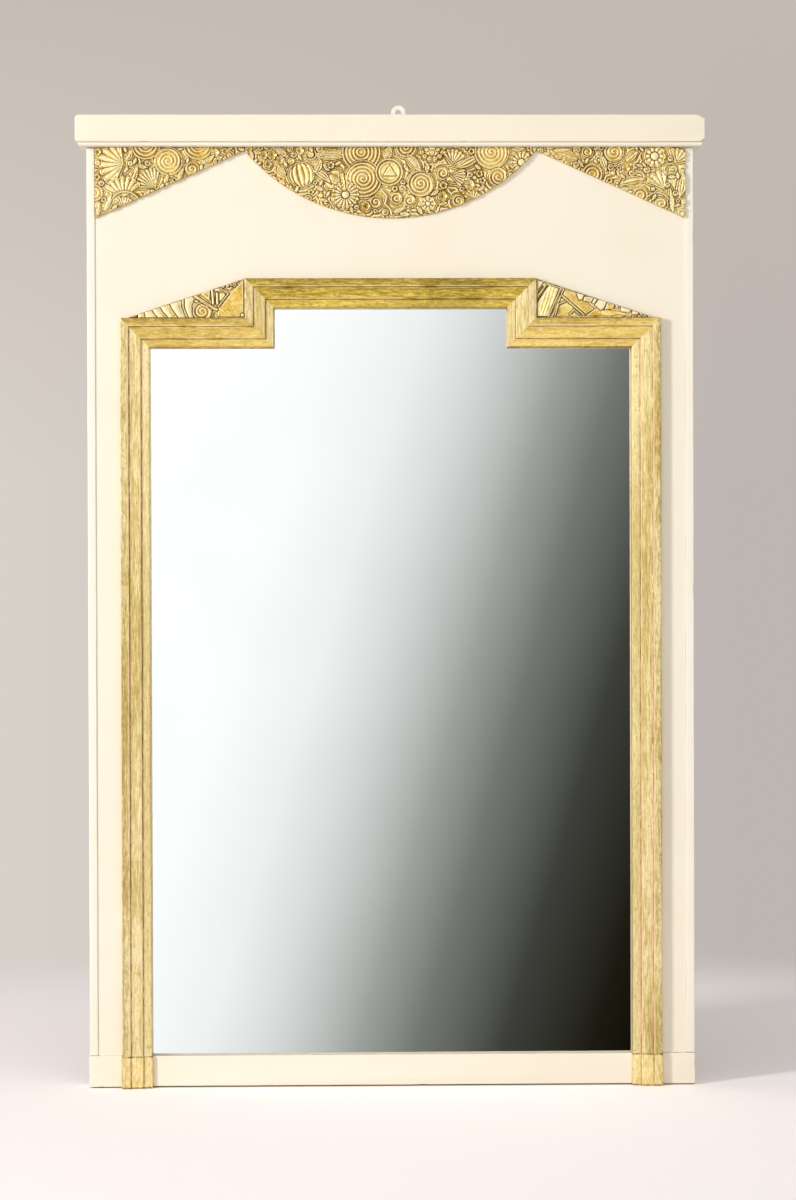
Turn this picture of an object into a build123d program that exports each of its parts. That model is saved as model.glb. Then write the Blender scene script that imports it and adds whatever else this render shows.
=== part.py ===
from build123d import *
import os

# Overmantel mirror: a cream painted wooden case with a stepped gilt moulding round
# the glass, gilt carvings and a flat cornice. The front faces -Y, the floor is Z = 0
# and the wall side is a plane of constant Y. Lengths are in mm.

# Case
overall_height = 1600
body_width = 1000
body_depth = 46
side_board_thickness = 14
strip_rise = 2
face_board_thickness = 12

# Cornice
cornice_height = 45
cornice_front_overhang = 26
cornice_side_overhang = 17
cornice_end_radius = 5
cornice_edge_radius = 1.5
underlay_height = 6
underlay_setback = 5
underlay_edge_radius = 4

# Base
base_height = 53
foot_rise = 1
base_rail_rise = 1.5
plinth_rise = 1
base_edge_radius = 1.2

# Gilt moulding round the glass
gilt_margin = 55
frieze_height = 216
riser_height = 65
raised_width = 480
outer_band_width = 14
middle_band_width = 20
inner_band_width = 14
outer_band_rise = 14
middle_band_rise = 9.5
inner_band_rise = 5
moulding_edge_radius = 1.3

# Carvings
carving_thickness = 10
frieze_drop = 116
frieze_neck = 5
spandrel_thickness = 13
spandrel_tip_inset = 10

# Glass and the battens that hold it
glass_thickness = 5
glass_lap = 12
glass_clearance = 1
backing_thickness = 1
batten_lap = 9
batten_leg_width = 14
batten_screw_length = 29
batten_screw_radius = 1.75
batten_screw_head_radius = 3.5
batten_screw_end_inset = 60
upright_batten_screw_count = 5
level_batten_screw_count = 4

# Rails, glued corner blocks and back boards
top_rail_height = 70
cross_rail_height = 50
corner_block_leg = 38
back_board_thickness = 8
back_board_recess = 2
back_board_gap = 1
back_board_names = ["back_board_left", "back_board_centre", "back_board_right"]
nail_radius = 1.1
nail_length = 22
nail_head_radius = 2.8
nail_head_height = 1
nail_edge_inset = 60

# Hanging plate
plate_thickness = 3
plate_offset = 14
plate_length = 38
plate_corner_radius = 4
plate_pocket_clearance = 0.3
eye_radius = 12
eye_hole_radius = 5
eye_hole_clear = 7.5
plate_screw_radius = 2
plate_screw_head_radius = 4
plate_screw_length = 22
plate_screw_top_inset = 13
plate_screw_spacing = 15

# Fits and cuts
hole_clearance = 0.15
cut_overrun = 5
countersink_angle = 45

# Depths, measured forward from the wall
overall_depth = body_depth + cornice_front_overhang
face_front = body_depth - strip_rise
face_back = face_front - face_board_thickness
glass_back = face_back - glass_thickness
backing_back = glass_back - backing_thickness
rail_back = back_board_recess + back_board_thickness
base_rail_front = face_front + base_rail_rise
foot_front = body_depth + foot_rise
underlay_front = overall_depth - underlay_setback

# Heights above the floor
cornice_bottom = overall_height - cornice_height
body_top = cornice_bottom - underlay_height
raised_outer = body_top - frieze_height
shoulder_height = raised_outer - riser_height
moulding_width = outer_band_width + middle_band_width + inner_band_width
shoulder_inner = shoulder_height - moulding_width
raised_inner = raised_outer - moulding_width
glass_bottom = base_height - glass_lap
glass_top = raised_inner + glass_lap
bottom_rail_top = glass_bottom - batten_leg_width
top_leg_bottom = glass_top + glass_clearance
cross_rail_bottom = top_leg_bottom + batten_leg_width
cross_rail_top = cross_rail_bottom + cross_rail_height
top_rail_bottom = body_top - top_rail_height
carving_low = body_top - frieze_drop
peak_height = body_top - frieze_neck
plate_bottom = overall_height - plate_length
eye_height = overall_height + eye_hole_clear + eye_hole_radius

# Half widths
body_half = body_width / 2
side_inner = body_half - side_board_thickness
gilt_half = body_half - gilt_margin
opening_half = gilt_half - moulding_width
raised_half = raised_width / 2
raised_inner_half = raised_half - moulding_width
foot_inner = gilt_half + plinth_rise
foot_outer = body_half + foot_rise
glass_half = opening_half + glass_lap
batten_inner = glass_half - batten_lap
batten_leg_inner = glass_half + glass_clearance
batten_outer = batten_leg_inner + batten_leg_width
cornice_half = body_half + cornice_side_overhang
underlay_half = cornice_half - underlay_setback

# Offsets of this plane are depths from the wall, and its Y runs up
wall_plane = Plane.XZ.offset(-overall_depth / 2)
sides = ((-1, "left"), (1, "right"))


def save(piece, name):
    piece.part.label = name
    export_step(piece.part, f"parts/{name}.step")


def outline(left, right, bottom, top):
    with Locations(((left + right) / 2, (bottom + top) / 2)):
        Rectangle(abs(right - left), top - bottom)


def round_holes(places, radius, back, depth):
    with BuildSketch(wall_plane.offset(back)) as holes:
        with Locations(*places):
            Circle(radius)
    extrude(holes.sketch, amount=depth, mode=Mode.SUBTRACT)


# The head's cone narrows to the shank as it goes forward from the back face
def countersunk(places, head_radius, shank_radius, back, length, mode):
    with BuildSketch(wall_plane.offset(back)) as heads:
        with Locations(*places):
            Circle(head_radius)
    extrude(heads.sketch, amount=head_radius - shank_radius, taper=countersink_angle, mode=mode)
    with BuildSketch(wall_plane.offset(back)) as shanks:
        with Locations(*places):
            Circle(shank_radius)
    extrude(shanks.sketch, amount=length, mode=mode)


def spread(start, end, count):
    return [start + (end - start) * step / (count - 1) for step in range(count)]


# Batten screws, from the back of the battens into the face boards
leg_middle = (batten_leg_inner + batten_outer) / 2
lowest_screw = bottom_rail_top + batten_screw_end_inset
highest_screw = cross_rail_bottom - batten_screw_end_inset
upright_heights = spread(lowest_screw, highest_screw, upright_batten_screw_count)
level_reach = batten_inner - batten_screw_end_inset
level_places = spread(-level_reach, level_reach, level_batten_screw_count)
left_screws = [(-leg_middle, height) for height in upright_heights]
right_screws = [(leg_middle, height) for height in upright_heights]
bottom_screws = [(place, (bottom_rail_top + glass_bottom) / 2) for place in level_places]
top_screws = [(place, (top_leg_bottom + cross_rail_bottom) / 2) for place in level_places]
all_batten_screws = left_screws + right_screws + bottom_screws + top_screws
batten_screw_reach = rail_back + batten_screw_length - face_back + hole_clearance


def batten_screw_holes():
    round_holes(all_batten_screws, batten_screw_radius + hole_clearance, face_back, batten_screw_reach)


# Back boards lie side by side between the side boards, nailed to the three rails
back_board_count = len(back_board_names)
back_board_room = 2 * side_inner - (back_board_count + 1) * back_board_gap
back_board_width = back_board_room / back_board_count
back_board_pitch = back_board_width + back_board_gap
back_board_lefts = [
    -side_inner + back_board_gap + index * back_board_pitch for index in range(back_board_count)
]
nail_heights = [
    bottom_rail_top / 2,
    (cross_rail_bottom + cross_rail_top) / 2,
    (top_rail_bottom + body_top) / 2,
]
nail_columns = [
    board_left + inset
    for board_left in back_board_lefts
    for inset in (nail_edge_inset, back_board_width - nail_edge_inset)
]
nail_places = [(column, height) for column in nail_columns for height in nail_heights]
nail_reach = nail_length - back_board_thickness + hole_clearance


def nail_holes():
    round_holes(nail_places, nail_radius + hole_clearance, rail_back, nail_reach)


# Side boards stand on the foot blocks and show as strips beside the face boards
for side, word in sides:
    with BuildPart() as side_board:
        with BuildSketch(wall_plane):
            outline(side * side_inner, side * body_half, base_height, body_top)
        extrude(amount=body_depth)
    save(side_board, f"side_board_{word}")

# Face boards: a frieze board over two shoulder boards, two stiles and the base rail
with BuildPart() as frieze_board:
    with BuildSketch(wall_plane.offset(face_back)):
        outline(-side_inner, side_inner, raised_inner, body_top)
    extrude(amount=face_board_thickness)
    batten_screw_holes()
save(frieze_board, "frieze_board")

for side, word in sides:
    with BuildPart() as shoulder_board:
        with BuildSketch(wall_plane.offset(face_back)):
            outline(side * raised_inner_half, side * side_inner, shoulder_inner, raised_inner)
        extrude(amount=face_board_thickness)
        batten_screw_holes()
    save(shoulder_board, f"shoulder_board_{word}")

for side, word in sides:
    with BuildPart() as face_stile:
        with BuildSketch(wall_plane.offset(face_back)):
            outline(side * opening_half, side * side_inner, base_height, shoulder_inner)
        extrude(amount=face_board_thickness)
        batten_screw_holes()
    save(face_stile, f"face_stile_{word}")

with BuildPart() as base_rail:
    with BuildSketch(wall_plane.offset(face_back)):
        outline(-foot_inner, foot_inner, 0, base_height)
    extrude(amount=base_rail_front - face_back)
    batten_screw_holes()
save(base_rail, "base_rail")

# Foot blocks close the base at both ends, a little proud of front and side
for side, word in sides:
    with BuildPart() as foot_block:
        with BuildSketch(wall_plane.offset(rail_back)):
            outline(side * foot_inner, side * foot_outer, 0, base_height)
        extrude(amount=foot_front - rail_back)
        outer_face = foot_block.faces().sort_by(Axis.X)[-1 if side > 0 else 0]
        front_face = foot_block.faces().sort_by(Axis.Y)[0]
        outer_edges = outer_face.edges().filter_by(Axis.Z).sort_by(Axis.Y)[:1]
        top_edges = front_face.edges().filter_by(Axis.X).sort_by(Axis.Z)[-1:]
        fillet(outer_edges + top_edges, radius=base_edge_radius)
        nail_holes()
    save(foot_block, f"foot_block_{word}")


# Three bands step down towards the glass, each front edge eased
def stepped_profile(profile, side_growth, rise_growth):
    first_step = outer_band_width + side_growth
    second_step = first_step + middle_band_width
    full_width = second_step + inner_band_width + side_growth
    outer_rise = outer_band_rise + rise_growth
    middle_rise = middle_band_rise + rise_growth
    inner_rise = inner_band_rise + rise_growth
    with BuildLine() as steps:
        Polyline(
            (0, 0),
            (0, outer_rise),
            (first_step, outer_rise),
            (first_step, middle_rise),
            (second_step, middle_rise),
            (second_step, inner_rise),
            (full_width, inner_rise),
            (full_width, 0),
            close=True,
        )
    make_face(steps.edges())
    crests = [
        (0, outer_rise),
        (first_step, outer_rise),
        (second_step, middle_rise),
        (full_width, inner_rise),
    ]
    corners = [profile.vertices().sort_by_distance(crest)[0] for crest in crests]
    fillet(corners, radius=moulding_edge_radius)


# Gilt plinth blocks under the upright mouldings, in front of the base rail
for side, word in sides:
    plinth_corner = (side * foot_inner, overall_depth / 2 - base_rail_front, 0)
    with BuildPart() as plinth_block:
        with BuildSketch(Plane(plinth_corner, x_dir=(-side, 0, 0), z_dir=(0, 0, side))) as profile:
            stepped_profile(profile, plinth_rise, plinth_rise - base_rail_rise)
        extrude(amount=side * base_height)
    save(plinth_block, f"plinth_block_{word}")

# The moulding's outer line runs from the left plinth block up, over and down again
half_outer_line = [
    (gilt_half, base_height),
    (gilt_half, shoulder_height),
    (raised_half, shoulder_height),
    (raised_half, raised_outer),
]
half_inner_line = [
    (opening_half, base_height),
    (opening_half, shoulder_inner),
    (raised_inner_half, shoulder_inner),
    (raised_inner_half, raised_inner),
]
outer_line = [(-x, z) for x, z in half_outer_line] + half_outer_line[::-1]
inner_line = [(-x, z) for x, z in half_inner_line] + half_inner_line[::-1]
moulding_names = [
    "moulding_left_upright",
    "moulding_left_shoulder",
    "moulding_left_riser",
    "moulding_top",
    "moulding_right_riser",
    "moulding_right_shoulder",
    "moulding_right_upright",
]
face_y = overall_depth / 2 - face_front

# Each length is extruded past its ends and trimmed to its mitred plan
for index, name in enumerate(moulding_names):
    start = Vector(*outer_line[index])
    end = Vector(*outer_line[index + 1])
    along = (end - start).normalized()
    past_end = end + along * moulding_width
    run_length = (end - start).length + 2 * moulding_width
    end_plane = Plane(
        (past_end.X, face_y, past_end.Y),
        x_dir=(along.Y, 0, -along.X),
        z_dir=(-along.X, 0, -along.Y),
    )
    with BuildPart() as moulding:
        with BuildSketch(end_plane) as profile:
            stepped_profile(profile, 0, 0)
        extrude(amount=run_length)
        with BuildSketch(wall_plane.offset(face_front)):
            with BuildLine():
                Polyline(
                    outer_line[index],
                    outer_line[index + 1],
                    inner_line[index + 1],
                    inner_line[index],
                    close=True,
                )
            make_face()
        extrude(amount=outer_band_rise, mode=Mode.INTERSECT)
    save(moulding, name)

# Carved wedges fill the corners between shoulder and riser
for side, word in sides:
    with BuildPart() as spandrel:
        with BuildSketch(wall_plane.offset(face_front)):
            with BuildLine():
                Polyline(
                    (side * (gilt_half - spandrel_tip_inset), shoulder_height),
                    (side * raised_half, raised_outer),
                    (side * raised_half, shoulder_height),
                    close=True,
                )
            make_face()
        extrude(amount=spandrel_thickness)
    save(spandrel, f"spandrel_{word}")

# Frieze carvings hang from the cornice: a wedge at each end and a swag between them
for side, word in sides:
    with BuildPart() as end_carving:
        with BuildSketch(wall_plane.offset(face_front)):
            with BuildLine():
                Polyline(
                    (side * side_inner, carving_low),
                    (side * side_inner, body_top),
                    (side * raised_half, body_top),
                    (side * raised_half, peak_height),
                    close=True,
                )
            make_face()
        extrude(amount=carving_thickness)
    save(end_carving, f"frieze_carving_{word}")

with BuildPart() as swag_carving:
    with BuildSketch(wall_plane.offset(face_front)):
        with BuildLine():
            Polyline(
                (-raised_half, peak_height),
                (-raised_half, body_top),
                (raised_half, body_top),
                (raised_half, peak_height),
            )
            ThreePointArc((-raised_half, peak_height), (0, carving_low), (raised_half, peak_height))
        make_face()
    extrude(amount=carving_thickness)
save(swag_carving, "frieze_carving_centre")

# Thin board under the cornice, set back from it, its lower edges rounded
with BuildPart() as cornice_underlay:
    with BuildSketch(wall_plane):
        outline(-underlay_half, underlay_half, body_top, cornice_bottom)
    extrude(amount=underlay_front)
    lower_edges = cornice_underlay.faces().sort_by(Axis.Z)[0].edges().sort_by(Axis.Y)[:-1]
    fillet(lower_edges, radius=underlay_edge_radius)
save(cornice_underlay, "cornice_underlay")

# Hanging plate let into the back of the cornice, its eye standing clear of the top
plate_screws = [
    (plate_offset, overall_height - plate_screw_top_inset),
    (plate_offset, overall_height - plate_screw_top_inset - plate_screw_spacing),
]
plate_left = plate_offset - eye_radius
plate_right = plate_offset + eye_radius

with BuildPart() as cornice_board:
    with BuildSketch(wall_plane):
        outline(-cornice_half, cornice_half, cornice_bottom, overall_height)
    extrude(amount=overall_depth)
    fillet(cornice_board.edges().filter_by(Axis.Y), radius=cornice_end_radius)
    fillet(cornice_board.faces().sort_by(Axis.Y)[0].edges(), radius=cornice_edge_radius)
    with BuildSketch(wall_plane):
        outline(
            plate_left - plate_pocket_clearance,
            plate_right + plate_pocket_clearance,
            plate_bottom - plate_pocket_clearance,
            overall_height + cut_overrun,
        )
    extrude(amount=plate_thickness, mode=Mode.SUBTRACT)
    round_holes(
        plate_screws,
        plate_screw_radius + hole_clearance,
        plate_thickness,
        plate_screw_length - plate_thickness + hole_clearance,
    )
save(cornice_board, "cornice_board")

with BuildPart() as hanging_plate:
    with BuildSketch(wall_plane) as plate_shape:
        outline(plate_left, plate_right, plate_bottom, eye_height)
        fillet(plate_shape.vertices().group_by(Axis.Y)[0], radius=plate_corner_radius)
        with Locations((plate_offset, eye_height)):
            Circle(eye_radius)
            Circle(eye_hole_radius, mode=Mode.SUBTRACT)
    extrude(amount=plate_thickness)
    countersunk(
        plate_screws,
        plate_screw_head_radius + hole_clearance,
        plate_screw_radius + hole_clearance,
        0,
        plate_thickness,
        Mode.SUBTRACT,
    )
save(hanging_plate, "hanging_plate")

with BuildPart() as hanging_plate_screws:
    countersunk(
        plate_screws,
        plate_screw_head_radius,
        plate_screw_radius,
        0,
        plate_screw_length,
        Mode.ADD,
    )
save(hanging_plate_screws, "hanging_plate_screws")

# Glass behind the face boards, with a sheet over its silvering
with BuildPart() as mirror_glass:
    with BuildSketch(wall_plane.offset(glass_back)):
        outline(-glass_half, glass_half, glass_bottom, glass_top)
    extrude(amount=glass_thickness)
save(mirror_glass, "mirror_glass")

with BuildPart() as backing_paper:
    with BuildSketch(wall_plane.offset(backing_back)):
        outline(-glass_half, glass_half, glass_bottom, glass_top)
    extrude(amount=backing_thickness)
save(backing_paper, "backing_paper")


# Rebated battens: the leg reaches the face boards, the lap holds the glass
def rebated_batten(leg_bounds, lap_bounds, screws):
    with BuildSketch(wall_plane.offset(rail_back)) as leg:
        outline(*leg_bounds)
    extrude(leg.sketch, amount=face_back - rail_back)
    with BuildSketch(wall_plane.offset(rail_back)) as lap:
        outline(*lap_bounds)
    extrude(lap.sketch, amount=backing_back - rail_back)
    countersunk(
        screws,
        batten_screw_head_radius + hole_clearance,
        batten_screw_radius + hole_clearance,
        rail_back,
        batten_screw_length,
        Mode.SUBTRACT,
    )


for side, word in sides:
    with BuildPart() as upright_batten:
        rebated_batten(
            (side * batten_leg_inner, side * batten_outer, bottom_rail_top, cross_rail_bottom),
            (side * batten_inner, side * batten_leg_inner, bottom_rail_top, cross_rail_bottom),
            left_screws if side < 0 else right_screws,
        )
    save(upright_batten, f"glazing_batten_{word}")

with BuildPart() as bottom_batten:
    rebated_batten(
        (-batten_inner, batten_inner, bottom_rail_top, glass_bottom),
        (-batten_inner, batten_inner, glass_bottom, glass_bottom + batten_lap),
        bottom_screws,
    )
save(bottom_batten, "glazing_batten_bottom")

with BuildPart() as top_batten:
    rebated_batten(
        (-batten_inner, batten_inner, top_leg_bottom, cross_rail_bottom),
        (-batten_inner, batten_inner, glass_top - batten_lap, top_leg_bottom),
        top_screws,
    )
save(top_batten, "glazing_batten_top")

with BuildPart() as batten_screws:
    countersunk(
        all_batten_screws,
        batten_screw_head_radius,
        batten_screw_radius,
        rail_back,
        batten_screw_length,
        Mode.ADD,
    )
save(batten_screws, "batten_screws")

# Rails behind the face boards
with BuildPart() as bottom_rail:
    with BuildSketch(wall_plane.offset(rail_back)):
        outline(-foot_inner, foot_inner, 0, bottom_rail_top)
    extrude(amount=face_back - rail_back)
    nail_holes()
save(bottom_rail, "bottom_rail")

with BuildPart() as cross_rail:
    with BuildSketch(wall_plane.offset(rail_back)):
        outline(-side_inner, side_inner, cross_rail_bottom, cross_rail_top)
    extrude(amount=face_back - rail_back)
    nail_holes()
save(cross_rail, "cross_rail")

with BuildPart() as top_rail:
    with BuildSketch(wall_plane.offset(rail_back)):
        outline(-side_inner, side_inner, top_rail_bottom, body_top)
    extrude(amount=face_back - rail_back)
    nail_holes()
save(top_rail, "top_rail")

# Glued blocks brace the side boards against the foot blocks and the top rail
block_tip = side_inner - corner_block_leg
with BuildPart() as corner_blocks:
    with BuildSketch(wall_plane.offset(rail_back)):
        for side, word in sides:
            for level, rise in ((base_height, corner_block_leg), (top_rail_bottom, -corner_block_leg)):
                with BuildLine():
                    Polyline(
                        (side * side_inner, level),
                        (side * block_tip, level),
                        (side * side_inner, level + rise),
                        close=True,
                    )
                make_face()
    extrude(amount=face_back - rail_back)
save(corner_blocks, "corner_blocks")

for name, board_left in zip(back_board_names, back_board_lefts):
    with BuildPart() as back_board:
        with BuildSketch(wall_plane.offset(back_board_recess)):
            outline(board_left, board_left + back_board_width, back_board_gap, body_top - back_board_gap)
        extrude(amount=back_board_thickness)
        round_holes(nail_places, nail_radius + hole_clearance, back_board_recess, back_board_thickness)
    save(back_board, name)

with BuildPart() as back_nails:
    with BuildSketch(wall_plane.offset(back_board_recess - nail_head_height)):
        with Locations(*nail_places):
            Circle(nail_head_radius)
    extrude(amount=nail_head_height)
    with BuildSketch(wall_plane.offset(back_board_recess)):
        with Locations(*nail_places):
            Circle(nail_radius)
    extrude(amount=nail_length)
save(back_nails, "back_nails")
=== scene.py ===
import math
import random

import bpy
import numpy as np
from mathutils import Euler, Matrix, Vector


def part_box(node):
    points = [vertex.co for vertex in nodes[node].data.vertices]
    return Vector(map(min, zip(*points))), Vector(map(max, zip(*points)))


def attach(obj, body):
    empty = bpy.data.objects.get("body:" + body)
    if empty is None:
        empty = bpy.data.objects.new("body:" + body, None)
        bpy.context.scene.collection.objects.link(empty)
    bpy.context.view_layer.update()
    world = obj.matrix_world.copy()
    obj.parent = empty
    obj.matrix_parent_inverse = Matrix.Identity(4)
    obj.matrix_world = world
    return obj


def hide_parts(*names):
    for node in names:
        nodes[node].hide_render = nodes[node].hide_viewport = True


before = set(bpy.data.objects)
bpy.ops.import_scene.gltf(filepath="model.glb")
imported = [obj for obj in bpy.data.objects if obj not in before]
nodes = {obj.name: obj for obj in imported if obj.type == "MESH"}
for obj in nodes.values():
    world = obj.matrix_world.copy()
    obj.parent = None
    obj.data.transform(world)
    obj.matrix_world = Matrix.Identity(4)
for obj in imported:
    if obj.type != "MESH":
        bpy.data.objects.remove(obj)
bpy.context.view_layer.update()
mm = 0.001


# colours are written as sRGB hex and turned to linear here
def toLinear(hexColour):
    parts = [int(hexColour[i:i + 2], 16) / 255 for i in (1, 3, 5)]
    return [c / 12.92 if c <= 0.04045 else ((c + 0.055) / 1.055) ** 2.4 for c in parts] + [1.0]


# adds one node with its settings; inputs holds values or sockets to link, stops the hexes of a ramp
# (a colour mix takes its factor at 0 and its colours at 6 and 7, and gives its colour at output 2)
def addNode(tree, kind, inputs=None, stops=None, **settings):
    node = tree.nodes.new(kind)
    for name, value in settings.items():
        setattr(node, name, value)
    for name, value in (inputs or {}).items():
        if isinstance(value, bpy.types.NodeSocket):
            tree.links.new(value, node.inputs[name])
        else:
            node.inputs[name].default_value = toLinear(value) if isinstance(value, str) else value
    if stops:
        ramp = node.color_ramp
        while len(ramp.elements) < len(stops):
            ramp.elements.new(1.0)
        for element, (place, hexColour) in zip(ramp.elements, stops):
            element.position = place
            element.color = toLinear(hexColour)
    return node


# mesh positions are already in the shared frame, so object coordinates are metres in the room
def newMaterial(name):
    material = bpy.data.materials.new(name)
    material.use_nodes = True
    tree = material.node_tree
    tree.nodes.clear()
    place = addNode(tree, "ShaderNodeTexCoord").outputs["Object"]
    return material, tree, place


def perMetre(spacing):
    return 1 / (spacing * mm)


def addObject(name, data):
    item = bpy.data.objects.new(name, data)
    bpy.context.scene.collection.objects.link(item)
    return item


print("helpers ready")


# Cream oil enamel brushed over wood: an even, satin, slightly yellowed skin with faint brush lines, darkened
# in corners and joints by painted shade and some dirt
def creamEnamel(name, grain, look):
    paint = {
        "body": "#FCF3E0",
        "lighter": "#FDF4E3",
        "yellowed": "#FBF1DC",
        "cornerShadeDirt": "#9C8358",
        "clouding": 160,      # mm across
        "brushLine": 1.4,     # mm from one bristle mark to the next
        "sag": 22,            # mm across, where the paint settled thicker
        "filmStep": 0.25,     # mm from thin to thick paint
        "cornerShadeReach": 3.6,    # mm that the painted shade and dirt reach out of a corner or joint
    }
    paint.update(look)
    material, tree, place = newMaterial(name)
    clouds = addNode(tree, "ShaderNodeTexNoise", {
        "Vector": place, "Scale": perMetre(paint["clouding"]), "Detail": 3.0, "Roughness": 0.55})
    tone = addNode(tree, "ShaderNodeValToRGB", {"Fac": clouds.outputs["Fac"]}, stops=[
        (0.3, paint["lighter"]), (0.52, paint["body"]), (0.75, paint["yellowed"])])
    # painted shade: ambient occlusion mixes the paint towards the dark tone in corners and joints, where
    # shade falls
    joint = addNode(tree, "ShaderNodeAmbientOcclusion", {"Distance": paint["cornerShadeReach"] * mm}, samples=8)
    reach = addNode(tree, "ShaderNodeMapRange", {
        "Value": joint.outputs["AO"], "From Min": 0.3, "From Max": 0.66, "To Min": 0.85, "To Max": 0.0})
    colour = addNode(tree, "ShaderNodeMix", {
        0: reach.outputs["Result"], 6: tone.outputs["Color"], 7: paint["cornerShadeDirt"]}, data_type="RGBA")
    drawn = addNode(tree, "ShaderNodeMapping", {
        "Vector": place, "Scale": {"across": (0.03, 1, 1), "upright": (1, 1, 0.03)}[grain]})
    bristles = addNode(tree, "ShaderNodeTexNoise", {
        "Vector": drawn.outputs["Vector"], "Scale": perMetre(paint["brushLine"]), "Detail": 2.0})
    sag = addNode(tree, "ShaderNodeTexNoise", {
        "Vector": place, "Scale": perMetre(paint["sag"]), "Detail": 2.0})
    film = addNode(tree, "ShaderNodeMath", {
        0: bristles.outputs["Fac"], 1: sag.outputs["Fac"]}, operation="ADD")
    bump = addNode(tree, "ShaderNodeBump", {
        "Height": film.outputs["Value"], "Strength": 0.22, "Distance": paint["filmStep"] * mm})
    gloss = addNode(tree, "ShaderNodeMapRange", {
        "Value": clouds.outputs["Fac"], "To Min": 0.34, "To Max": 0.46})
    shader = addNode(tree, "ShaderNodeBsdfPrincipled", {
        "Base Color": colour.outputs[2], "Roughness": gloss.outputs["Result"], "IOR": 1.5,
        "Normal": bump.outputs["Normal"]})
    addNode(tree, "ShaderNodeOutputMaterial", {"Surface": shader.outputs["BSDF"]})
    return material


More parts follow.
